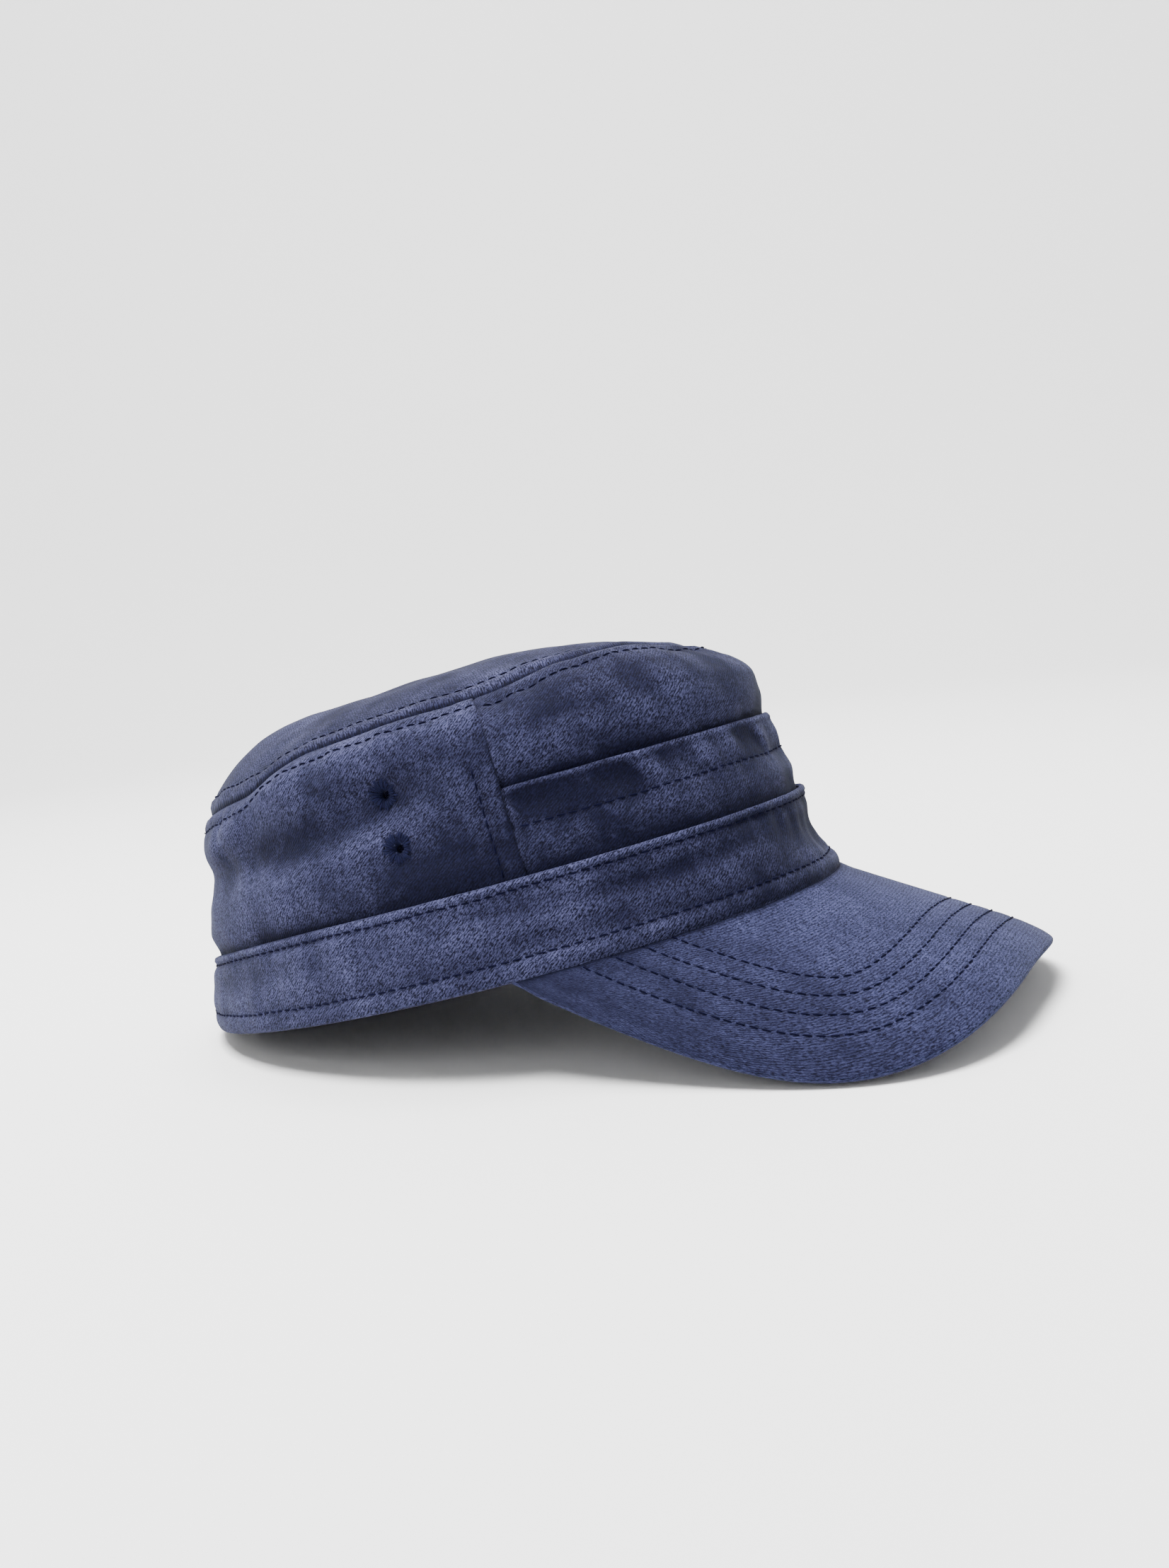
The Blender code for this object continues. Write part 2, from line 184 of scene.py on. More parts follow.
# The top: way in from the seam to the middle, and share of the dome reached there
DOME = table(
    "inward front side back",
    (0.00, 0.000, 0.000, 0.000),
    (0.04, 0.090, 0.130, 0.300),
    (0.10, 0.215, 0.290, 0.560),
    (0.18, 0.390, 0.480, 0.760),
    (0.28, 0.565, 0.660, 0.890),
    (0.40, 0.720, 0.790, 0.950),
    (0.55, 0.850, 0.885, 0.980),
    (0.75, 0.950, 0.960, 0.995),
    (1.00, 1.000, 1.000, 1.000),
)

# Soft dents: place, half width in degrees, half height as a share of the crown,
# and depth as a share of the head's width
DENTS = table(
    "azimuth rise half_width half_height depth",
    (-83, 0.47, 9, 0.13, 0.016),
    (-113, 0.57, 7, 0.12, 0.010),
    (-150, 0.34, 26, 0.05, 0.010),
    (-30, 0.62, 14, 0.10, 0.005),
    (40, 0.60, 14, 0.10, 0.006),
    (86, 0.42, 12, 0.12, 0.010),
    (142, 0.36, 22, 0.05, 0.007),
)

# Creases pressed into the band: place, half width in degrees, and depth as a share of its height
BAND_CREASES = table(
    "azimuth half_width depth",
    (18, 17, 0.110),
    (-48, 20, 0.035),
    (60, 24, 0.040),
)

# Soft folds and hollows of the worn crown: place, half width in degrees, half height as a
# share of the crown, slant for each degree, and height in mm
WALL_FOLDS = table(
    "azimuth level half_width half_height slant height",
    (-113, 0.600, 14, 0.055, 0.0087, 1.4),
    (-105, 0.375, 16, 0.060, 0.0010, -1.3),
    (-101, 0.220, 16, 0.080, 0.0000, 1.0),
    (-84, 0.480, 12, 0.090, 0.0020, -0.2),
    (-87, 0.310, 11, 0.050, 0.0040, 0.9),
    (-80, 0.690, 13, 0.065, -0.0010, 1.3),
    (-72, 0.150, 9, 0.070, 0.0000, -0.9),
    (-70, 0.420, 5, 0.070, 0.0100, 0.5),
    (-140, 0.180, 16, 0.060, 0.0000, 0.8),
    (-165, 0.500, 10, 0.060, 0.0020, 0.8),
    (-52, 0.530, 9, 0.060, 0.0030, 0.7),
    (-40, 0.650, 12, 0.045, 0.0040, -0.7),
    (-26, 0.530, 9, 0.050, 0.0020, 0.6),
    (-7, 0.660, 6, 0.060, 0.0000, -1.0),
    (12, 0.500, 8, 0.050, 0.0000, -0.6),
    (30, 0.560, 13, 0.060, -0.0030, 0.9),
    (48, 0.440, 8, 0.050, 0.0000, -0.6),
    (75, 0.180, 10, 0.070, 0.0000, -0.8),
    (86, 0.690, 13, 0.055, 0.0010, 1.0),
    (100, 0.300, 14, 0.060, -0.0030, 0.9),
    (112, 0.450, 13, 0.045, -0.0060, -1.2),
    (128, 0.560, 13, 0.055, -0.0070, 1.1),
    (150, 0.200, 16, 0.070, 0.0000, 0.8),
)

# Furrows and ridges of the band, in the same columns with its own height as the share
BAND_FOLDS = table(
    "azimuth level half_width half_height slant height",
    (-68, 0.74, 8, 0.080, 0.0000, -0.8),
    (-44, 0.64, 13, 0.075, 0.0020, -1.0),
    (-62, 0.36, 9, 0.080, 0.0030, -0.7),
    (-60, 0.55, 11, 0.090, 0.0010, 0.6),
    (-38, 0.44, 10, 0.090, 0.0020, 0.6),
    (-9, 0.78, 2.2, 0.110, 0.0300, -0.9),
    (-4, 0.72, 1.6, 0.150, 0.0200, -0.9),
    (2, 0.62, 2.0, 0.150, 0.0100, -0.8),
    (8, 0.50, 2.6, 0.200, 0.0000, -0.9),
    (-20, 0.52, 6, 0.100, 0.0040, 0.5),
    (-100, 0.45, 14, 0.110, -0.0020, 0.6),
    (-122, 0.62, 11, 0.090, 0.0020, -0.6),
    (-150, 0.40, 13, 0.110, 0.0020, 0.5),
    (24, 0.60, 8, 0.090, -0.0040, -0.7),
    (50, 0.48, 13, 0.100, -0.0020, 0.7),
    (76, 0.65, 10, 0.080, 0.0020, -0.7),
    (108, 0.42, 14, 0.110, 0.0000, 0.6),
    (150, 0.55, 13, 0.090, 0.0020, -0.5),
)

# Eyelets: azimuth, and rise as a share of the crown
EYELETS = {
    "eyelet_right_upper": (-82.0, 0.487),
    "eyelet_right_lower": (-81.0, 0.253),
    "eyelet_left_upper": (82.0, 0.487),
    "eyelet_left_lower": (81.0, 0.253),
}

# An eyelet's threads, how deep it goes, how far the cloth's hole is cut past its own edge, and
# its neck: steps round it, and its four corners' distance past that edge and height in mm
EYELET_THREADS = 30
EYELET_DEPTH = 1.5 * MM
HOLE_CLEARANCE = 0.4 * MM
NECK_SIDES = 24
NECK = table("radius height", (0.10, -0.35), (0.75, -0.20), (0.75, -1.85), (0.10, -1.85))


def through(x, known_x, known_y):
    """Smooth curve through the rows of a table that never overshoots them.

    Between two rows it is the cubic whose end slopes are the harmonic means of the slopes
    on either side of each row.
    """
    step = np.diff(known_x)
    slope = np.diff(known_y) / step
    inner = np.where(slope[:-1] * slope[1:] > 0,
                     2 * slope[:-1] * slope[1:] / (slope[:-1] + slope[1:] + 1e-12), 0.0)
    tangent = np.concatenate(([slope[0]], inner, [slope[-1]]))
    x = np.clip(x, known_x[0], known_x[-1])
    row = np.clip(np.searchsorted(known_x, x, side="right") - 1, 0, len(step) - 1)
    t = (x - known_x[row]) / step[row]
    return (known_y[row] * (1 + 2 * t) * (1 - t) ** 2 + known_y[row + 1] * t * t * (3 - 2 * t)
            + step[row] * t * (1 - t) * (tangent[row] * (1 - t) - tangent[row + 1] * t))


def eased(share):
    """Three times the square less twice the cube of a share held between 0 and 1."""
    share = np.clip(share, 0.0, 1.0)
    return share * share * (3 - 2 * share)


def bell(distance, width):
    """One at no distance, falling off as the exponential of minus the distance squared."""
    return np.exp(-(distance / width) ** 2)


def unit(vectors):
    """Vectors scaled to unit length."""
    return vectors / np.linalg.norm(vectors, axis=-1, keepdims=True)


def wrapped(grid, axis):
    """A grid with its first row or column again at its end."""
    return np.concatenate((grid, grid.take([0], axis)), axis)


def distance_along(points):
    """Distance along a line of points from its first point to each."""
    return np.concatenate(([0.0], np.cumsum(np.linalg.norm(np.diff(points, axis=0), axis=1))))


def read_off(at, along, grid):
    """Rows of a grid read off at some distances between those where its rows lie."""
    return np.stack([np.interp(at, along, column) for column in grid.T], axis=-1)


def cell_corners(grid):
    """The four corners of each cell of a grid, anticlockwise as columns and rows increase."""
    return np.stack((grid[:-1, :-1], grid[:-1, 1:], grid[1:, 1:], grid[1:, :-1]), axis=2)


def round_the_head(azimuth, front, side, back):
    """The side value plus the square of the azimuth's cosine times what front or back adds."""
    forward = np.cos(np.radians(azimuth))
    return side + (np.where(forward > 0, front, back) - side) * forward ** 2


def profile(rows, axis, at, azimuth):
    """Read the front, side and back columns of a table and blend them round the crown."""
    columns = (through(at, rows[axis], rows[name]) for name in ("front", "side", "back"))
    return round_the_head(azimuth, *columns)


def on_oval(azimuth, reach, height, inset=0.0):
    """Sine and cosine of the azimuth times the head's half width and half length.

    The half length behind is longer than in front, and an inset moves the point in along
    the oval's normal.
    """
    angle = np.radians(azimuth)
    across, along = np.sin(angle), -np.cos(angle)
    half_length = np.where(along < 0, HEAD_FRONT, HEAD_BACK)
    normal_x, normal_y = across / (HEAD_WIDTH / 2), along / half_length
    inset = inset / np.hypot(normal_x, normal_y)
    x = reach * HEAD_WIDTH / 2 * across - inset * normal_x
    y = reach * half_length * along - inset * normal_y
    return np.stack(np.broadcast_arrays(x, y, height), axis=-1)


def turn_from(azimuth, where):
    """Signed angle from one azimuth to another the short way round."""
    return (azimuth - where + 180) % 360 - 180


def band_top(azimuth):
    """Height of the band's folded top edge, which is lower at the back."""
    return BAND_HEIGHT - round_the_head(azimuth, 0.0, 0.0, BAND_BACK_DROP)


def dent_depth(azimuth, rise):
    """Sum of the soft dents, each a bell in azimuth times a bell in height."""
    depth = 0.0
    for where, high, half_width, half_height, share in zip(*DENTS.values()):
        away = turn_from(azimuth, where) / half_width
        above = (rise - high) / half_height
        depth = depth + share * HEAD_WIDTH * np.exp(-0.5 * (away ** 2 + above ** 2))
    return depth


def crease_depth(azimuth, share):
    """Sum of the band's creases, each a bell in azimuth, faded to none at the band's edges."""
    depth = 0.0
    for where, half_width, deep in zip(*BAND_CREASES.values()):
        away = turn_from(azimuth, where) / half_width
        depth = depth + deep * BAND_HEIGHT * np.exp(-0.5 * away ** 2)
    return depth * eased(share / CREASE_FADE_DOWN) * eased((1 - share) / CREASE_FADE_UP)


def folds(rows, azimuth, level):
    """Sum of soft folds, each a bell along its slanting crest times a bell across it."""
    height = 0.0
    for where, middle, half_width, half_height, slant, high in zip(*rows.values()):
        away = turn_from(azimuth, where)
        across = (level - middle - slant * away) / half_height
        height = height + high * MM * np.exp(-0.5 * ((away / half_width) ** 2 + across ** 2))
    return height


def top_seam(azimuth):
    """Reach and height of the seam that joins the walls to the top, which wavers a little."""
    around = turn_from(azimuth, 0.0)
    reach = through(around, TOP_SEAM["azimuth"], TOP_SEAM["reach"])
    rise = through(around, TOP_SEAM["azimuth"], TOP_SEAM["rise"])
    rise = rise + SEAM_WAVER * wander((around + 180) / 360 * 28, 0.5, 5, 28)
    return reach, BAND_HEIGHT + rise * CROWN_RISE


def crown_wall(azimuth, height, tucked=False):
    """Head oval scaled by the wall's lean at each climb, less dents, creases and overlaps.

    The wall comes out from behind the band's top edge, and a tucked wall also from behind
    the front's lower piece.
    """
    seam_reach, seam_height = top_seam(azimuth)
    edge = band_top(azimuth)
    climb = (height - edge) / (seam_height - edge)
    lean = profile(WALL, "climb", climb, azimuth)
    start = BAND["reach"][-1]
    reach = start - (start - seam_reach) * lean
    dent = dent_depth(azimuth, (height - BAND_HEIGHT) / CROWN_RISE)
    inset = dent * eased(climb / DENT_FADE) * eased((1 - climb) / DENT_FADE)
    inset = inset + (BAND_WALL + GAP) * (1 - eased((height - edge) / STEP_FADE))
    inset = inset + crease_depth(azimuth, height / edge)
    if tucked:
        over_tuck = (height - BAND_HEIGHT - TUCK_RISE) / STEP_FADE
        inset = inset + (PANEL_WALL + GAP) * (1 - eased(over_tuck))
    return on_oval(azimuth, reach, height, inset)


def brim_height(x, y):
    """Straight lines that run forward and down from the head oval at the brim's slope."""
    fall = math.tan(math.radians(BRIM_SLOPE))
    oval = HEAD_FRONT * np.sqrt(1 - np.minimum((x / (HEAD_WIDTH / 2)) ** 2, 1.0))
    return -GAP - fall * (-y - oval)


def evenly(points, count):
    """Points at even steps along a finely sampled line."""
    along = distance_along(points)
    return read_off(np.linspace(0, along[-1], count), along, points)


def brim_outline(inset=0.0, samples=LINE_SAMPLES):
    """Rounded oblong: powers of the sine and cosine of a half turn, flared at the sides."""
    turn = np.radians(np.linspace(-90, 90, samples))
    corner = math.radians(BRIM_CORNER_AZIMUTH)
    start = HEAD_FRONT * math.cos(corner)
    forward = np.abs(np.cos(turn)) ** (2 / BRIM_FRONT_FULLNESS)
    half_width = HEAD_WIDTH / 2 * math.sin(corner) + BRIM_FLARE * (1 - (1 - forward) ** 6)
    x = (half_width - inset) * np.sign(turn) * np.abs(np.sin(turn)) ** (2 / BRIM_SIDE_FULLNESS)
    y = -start - forward * (HEAD_FRONT + BRIM_REACH - start - inset)
    return np.stack((x, y), axis=-1)


def wander(x, y, seed, wrap=0):
    """Smooth random field from -1 to 1.

    Seeded values on a square lattice are blended by eased shares of a cell, and the lattice
    repeats after wrap cells round a closed ring.
    """
    values = np.random.default_rng(seed).uniform(-1, 1, (LATTICE, LATTICE))
    x, y = np.broadcast_arrays(x, y)
    column, row = np.floor(x).astype(int), np.floor(y).astype(int)
    across, up = eased(x - column), eased(y - row)

    def at(i, j):
        i = i % wrap if wrap else i
        return values[i % LATTICE, j % LATTICE]

    low = at(column, row) + (at(column + 1, row) - at(column, row)) * across
    high = at(column, row + 1) + (at(column + 1, row + 1) - at(column, row + 1)) * across
    return low + (high - low) * up


class Skin:
    """A grid of points on one piece of cloth, row above row, and the ways along it.

    Columns run towards greater azimuths and rows upwards or inwards, so the cross product of
    the two directions points out of the cap.
    """

    def __init__(self, points, closed=False):
        self.points = points
        self.closed = closed
        self.normal = self.normals(points)
        step = np.linalg.norm(np.diff(points, axis=0), axis=-1)
        self.up = np.concatenate((np.zeros_like(step[:1]), np.cumsum(step, axis=0)))
        self.down = self.up[-1] - self.up
        ring = wrapped(points, 1) if closed else points
        step = np.linalg.norm(np.diff(ring, axis=1), axis=-1)
        across = np.concatenate((np.zeros_like(step[:, :1]), np.cumsum(step, axis=1)), axis=1)
        self.left = across[:, :points.shape[1]]
        self.right = across[:, -1:] - self.left
        self.round = across.mean(axis=0)
        self.along = self.round[None, :points.shape[1]]
        self.length = self.round[-1]

    def normals(self, points):
        """Cross product of the central differences across and up the grid, at unit length."""
        if self.closed:
            across = np.roll(points, -1, axis=1) - np.roll(points, 1, axis=1)
        else:
            across = np.gradient(points, axis=1)
        return unit(np.cross(across, np.gradient(points, axis=0)))

    def noise(self, size, seed, up=None, slant=0.0):
        """Random field whose cells are size wide and up high, leaning by slant as they rise."""
        cells = max(4, round(self.length / size))
        x = self.along / self.length * cells + slant * self.up / size
        return wander(x, self.up / (up or size), seed, cells if self.closed else 0)

    def raised(self, relief):
        """The same cloth with each point moved out along its normal by the relief."""
        skin = Skin(self.points + relief[..., None] * self.normal, self.closed)
        skin.base_normal = self.normal
        return skin

    def line(self, distance, offset, seed):
        """Distance on the cloth from a row of stitches that wavers about its offset.

        The waver is a random field whose cells are about 15 mm wide.
        """
        cells = max(8, round(self.length / (15 * MM)))
        x = self.along / self.length * cells
        return distance - offset - STITCH_WAVER * wander(x, 0.5, seed, cells if self.closed else 0)

    def row_at(self, distance):
        """Points and normals of the line where a distance measured on the cloth is nought.

        Each column gives the one point between the two rows on either side of the line.
        """
        past = distance >= 0
        first = np.argmax(past[1:] != past[:-1], axis=0)
        column = np.arange(distance.shape[1])
        low, high = distance[first, column], distance[first + 1, column]
        share = (low / (low - high))[:, None]
        ends = [(grid[first, column], grid[first + 1, column]) for grid in (self.points, self.normal)]
        point, normal = (a + (b - a) * share for a, b in ends)
        return point, unit(normal)


def rounded_edge(edge, within, normal, thickness):
    """A half circle as wide as the wall, from its outer edge round to its inner one.

    A point is the wall's middle plus half its thickness times the cosine of the turn along
    the normal and its sine along the way out of the cloth.
    """
    turn = np.linspace(0, math.pi, EDGE_POINTS + 2)[1:-1, None, None]
    out = edge - within
    out = unit(out - (out * normal).sum(-1, keepdims=True) * normal)
    return edge + thickness / 2 * ((np.cos(turn) - 1) * normal + np.sin(turn) * out)


def hole_walls(cut, index, back):
    """Quads through the wall wherever a cut cell has an uncut neighbour."""
    walls = []
    for r, c in np.argwhere(cut):
        corners = ((r, c), (r, c + 1), (r + 1, c + 1), (r + 1, c))
        beyond = ((r - 1, c), (r, c + 1), (r + 1, c), (r, c - 1))
        for k, neighbour in enumerate(beyond):
            if not cut[neighbour]:
                (r1, c1), (r2, c2) = corners[k], corners[(k + 1) % 4]
                walls.append([index[r1, c1], index[r2, c2],
                              index[back - r2, c2], index[back - r1, c1]])
    return walls


def side_caps(index, height, back):
    """Faces that close an open wall's two sides: a ladder of quads between two half discs."""
    caps = []
    up = np.arange(height - 1)
    for column, way in ((0, 1), (-1, -1)):
        at = index[:-1, column]
        ladder = np.stack((at[up], at[up + 1], at[back - up - 1], at[back - up]), axis=1)
        over = at[height - 1:height + EDGE_POINTS + 1]
        under = np.append(at[back:], at[0])
        caps += ladder[:, ::way].tolist() + [over[::way].tolist(), under[::way].tolist()]
    return caps


def shell(skin, thickness, holes=()):
    """A wall with two rounded edges.

    It gives the vertices, the faces, the cloth coordinates of the grid's faces, and those
    and the vertex numbers of the unrolled grid.

    Each column is a closed loop: up the outer face, over a half circle as wide as the wall,
    down the inner face and round a second half circle. An open wall is capped at its sides,
    and each hole is cut where its cells lie nearer to its centre than its radius.
    """
    outer, normal = skin.points, skin.normal
    inner = outer - thickness * normal
    high = rounded_edge(outer[-1], outer[-2], normal[-1], thickness)
    low = rounded_edge(outer[0], outer[1], normal[0], thickness)
    loop = np.concatenate((outer, high, inner[::-1], low[::-1]))
    rows, columns = loop.shape[:2]
    height = outer.shape[0]
    index = wrapped(np.arange(rows * columns).reshape(rows, columns), 0)
    step = np.linalg.norm(np.diff(wrapped(loop, 0), axis=0), axis=-1).mean(axis=1)
    v = np.concatenate(([0.0], np.cumsum(step)))
    if skin.closed:
        index = wrapped(index, 1)
    uv = np.stack(np.meshgrid(skin.round[:index.shape[1]], v), axis=-1)

    quads = cell_corners(index)
    keep = np.ones(quads.shape[:2], dtype=bool)
    back = rows - EDGE_POINTS - 1
    extra = []
    for centre, radius in holes:
        middle = (outer[:-1, :-1] + outer[1:, 1:]) / 2
        cut = np.linalg.norm(middle - centre, axis=-1) < radius
        keep[:height - 1, :cut.shape[1]] &= ~cut
        keep[back - height + 1:back, :cut.shape[1]] &= ~cut[::-1]
        extra += hole_walls(cut, index, back)
    if not skin.closed:
        extra += side_caps(index, height, back)
    faces = quads[keep].reshape(-1, 4).tolist() + extra
    return loop.reshape(-1, 3), faces, cell_corners(uv)[keep].reshape(-1, 2), uv, index


def level_to_world():
    """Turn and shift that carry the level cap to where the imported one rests.

    The turn comes from the rim mount's axis, which was straight down on the level cap, and
    the shift from the middle of the band's box.
    """
    axis = next(m["axis"] for m in frame["record"]["mounts"] if m["name"] == "rim_rest")
    tip = math.atan2(axis[1], -axis[2])
    turn = np.array(Euler((tip, 0.0, 0.0)).to_matrix())
    azimuth = np.linspace(-180, 180, 721)[None, :]
    share = BAND["height"][:, None]
    band = on_oval(azimuth, BAND["reach"][:, None], share * band_top(azimuth),
                   crease_depth(azimuth, share)) @ turn.T
    low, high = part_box("band")
    middle = (np.array(low) + np.array(high)) / 2
    shift = middle - (band.min(axis=(0, 1)) + band.max(axis=(0, 1))) / 2
    return turn, shift


TURN, SHIFT = level_to_world()


def new_piece(name, points, faces, material):
    """A smooth mesh object in one material, linked to the scene."""
    mesh = bpy.data.meshes.new(name)
    mesh.from_pydata(points, [], faces)
    mesh.polygons.foreach_set("use_smooth", np.full(len(mesh.polygons), True))
    mesh.materials.append(material)
    piece = bpy.data.objects.new(name, mesh)
    bpy.context.scene.collection.objects.link(piece)
    return piece


def dress(name, vertices, faces, material, node):
    """Make a mesh object of level points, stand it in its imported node's place and ride it."""
    piece = new_piece(name, vertices @ TURN.T + SHIFT, faces, material)
    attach(piece, "root")
    if node:
        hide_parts(node)
    return piece


def corner_vertices(mesh):
    """Number of the vertex at each corner of each face."""
    corner = np.empty(len(mesh.loops), dtype=int)
    mesh.loops.foreach_get("vertex_index", corner)
    return corner


def add_cloth_data(mesh, corner_uv, wear, first=0):
    """Give a mesh its cloth coordinates in mm, and the wear and painted shade of its outer face's
    vertices.
    """
    layer = mesh.uv_layers.new(name="cloth")
    layer.uv.foreach_set("vector", (corner_uv / MM).astype(np.float32).reshape(-1))
    spread = np.zeros(len(mesh.vertices))
    spread[first:first + wear.size] = wear.reshape(-1)
    mesh.attributes.new("wear", "FLOAT", "POINT").data.foreach_set("value", spread)


def cloth_piece(name, skin, wear, thickness, material, node, holes=()):
    """Dress a skin as a wall of cloth.

    A grid cell takes its cloth coordinates from its place on the unrolled wall, so they run
    on past the closing column, and the faces beside holes and sides take their vertices'.
    """
    vertices, faces, face_uv, uv, index = shell(skin, thickness, holes)
    piece = dress(name, vertices, faces, material, node)
    by_vertex = np.zeros((len(vertices), 2))
    by_vertex[index[:-1].reshape(-1)] = uv[:-1].reshape(-1, 2)
    corner_uv = by_vertex[corner_vertices(piece.data)]
    corner_uv[:len(face_uv)] = face_uv
    add_cloth_data(piece.data, corner_uv, wear)
    return piece


def tubes(spines, side, over, radius, flatness):
    """Vertices and faces of many threads, one along each spine, with capped ends.

    A ring's point is the spine's plus the radius times the cosine of its turn along the side
    and its flattened sine along the way over.
    """
    turn = np.linspace(0, 2 * math.pi, THREAD_SIDES + 1)[:-1, None]
    ring = spines[:, :, None] + radius[:, None, None] * (
        np.cos(turn) * side[:, :, None] + flatness * np.sin(turn) * over[:, :, None])
    index = np.arange(ring.size // 3).reshape(ring.shape[:3])
    after = np.roll(index, -1, axis=2)
    quads = np.stack((index[:, :-1], after[:, :-1], after[:, 1:], index[:, 1:]), axis=-1)
    ends = np.concatenate((index[:, 0, ::-1], index[:, -1]))
    return ring.reshape(-1, 3), quads.reshape(-1, 4).tolist() + ends.tolist()


def sewn(path, normal, sizes, seed, slant=0.18):
    """Vertices and faces of a row of stitches.

    A stitch is a thread whose middle stands on the cloth and whose ends dive into it: its
    height falls by the fourth power of the way from its middle. It thins towards its ends
    and leans a little across the row.
    """
    along = distance_along(path)
    count = int(along[-1] / sizes.stitch_pitch)
    random = np.random.default_rng(seed)
    middle = (np.arange(count) + 0.5) * along[-1] / count
    middle = middle + random.uniform(-0.06, 0.06, count) * sizes.stitch_pitch
    way = np.array([-1.0, -0.86, -0.5, 0.0, 0.5, 0.86, 1.0])
    at = middle[:, None] + way * sizes.stitch_length / 2
    point, out = read_off(at, along, path), read_off(at, along, normal)
    side = unit(np.cross(unit(np.gradient(point, axis=1)), out))
    radius = sizes.thread_width / 2
    lean = slant * radius * 2 * way + random.uniform(-0.25, 0.25, (count, 1)) * radius
    lift = radius * (0.85 - 1.85 * way ** 4)
    centre = point + lean[..., None] * side + lift[..., None] * out
    thick = radius * np.sqrt(np.maximum(1 - 0.9 * way ** 6, 0.05))
    return tubes(centre, side, out, thick, 0.85)


def stitch_piece(name, rows, material, sizes, seed):
    """One mesh of several rows of stitches, each given as its points and normals."""
    vertices, faces, start = [], [], 0
    for number, (path, normal) in enumerate(rows):
        row_vertices, row_faces = sewn(path, normal, sizes, seed + number)
        faces += [[corner + start for corner in face] for face in row_faces]
        vertices.append(row_vertices)
        start += len(row_vertices)
    return dress(name, np.concatenate(vertices), faces, material, None)


def closed_path(row):
    """A ring's path with its first point again at its end."""
    return tuple(wrapped(grid, 0) for grid in row)


# How a row of stitches draws the cloth in: groove depth and half width, and the height,
# spacing and reach of the puckers beside it
PULL = dict(
    hem=(0.32 * MM, 1.0 * MM, 0.30 * MM, 5.5 * MM, 3.5 * MM),
    fold=(0.22 * MM, 0.8 * MM, 0.28 * MM, 6.0 * MM, 7.0 * MM),
    tuck=(0.26 * MM, 0.9 * MM, 0.55 * MM, 6.0 * MM, 6.0 * MM),
    seam=(0.32 * MM, 1.0 * MM, 0.55 * MM, 5.5 * MM, 7.0 * MM),
    brim=(0.24 * MM, 0.8 * MM, 0.00 * MM, 5.0 * MM, 3.0 * MM),
)


def pulled(skin, distance, kind, seed, inside=1.0):
    """Relief of a row of stitches: a groove, and puckers that fade with distance from it.

    The groove is a bell across the row. The puckers are a random field, much longer across
    the row than along it, times the exponential of minus the distance.
    """
    depth, width, pucker, spacing, reach = PULL[kind]
    relief = -depth * bell(distance, width) * (1 + 0.3 * skin.noise(spacing, seed))
    gathers = skin.noise(spacing, seed + 1, up=5 * spacing, slant=0.25)
    gathers = gathers + 0.5 * skin.noise(spacing / 2, seed + 2, up=3 * spacing, slant=-0.2)
    return relief + pucker * gathers * np.exp(-np.abs(distance) / reach) * inside


def rumple(skin, seed, broad=0.55, fine=0.16):
    """Soft wrinkles of washed cloth at three scales, in metres."""
    relief = broad * skin.noise(34 * MM, seed, up=20 * MM, slant=0.5)
    relief = relief + 0.45 * broad * skin.noise(17 * MM, seed + 1, up=11 * MM, slant=-0.6)
    relief = relief + fine * skin.noise(7 * MM, seed + 2, up=9 * MM, slant=0.3)
    return relief * MM


def fold_roll(distance, height=0.42 * MM, width=0.75 * MM):
    """The puffed roll of a folded edge, a bell centred one width from the edge."""
    return height * bell(distance - width, width)


def ring_azimuths(circumference):
    """Azimuths of a closed ring whose cells are about as wide as the cloth's cell."""
    count = int(circumference / CELL / 2) * 2
    return np.linspace(-180, 180, count + 1)[None, :-1]


def rows_of(low, high, height):
    """Heights from a low edge to a high edge, about a cell apart on a piece of that height."""
    count = int(height / CELL) + 1
    return low + np.linspace(0, 1, count)[:, None] * (high - low)


def seam_curl(from_seam):
    """Relief of the strip that turns in at the top seam, eased from its full depth to none."""
    return -SEAM_CURL * (1 - eased(from_seam / SEAM_CURL_WIDTH))


def worn_and_shaded(relief, gain=0.75):
    """Wear and painted shade that follow relief: paler where the cloth stands proud, painted darker
    as shade where it sinks.
    """
    return np.tanh(gain * relief / MM)


def towards_front(azimuth, start, full):
    """Eased share from none at one azimuth on either side to all at another nearer the front."""
    return eased((start - np.abs(turn_from(azimuth, 0.0))) / (start - full))


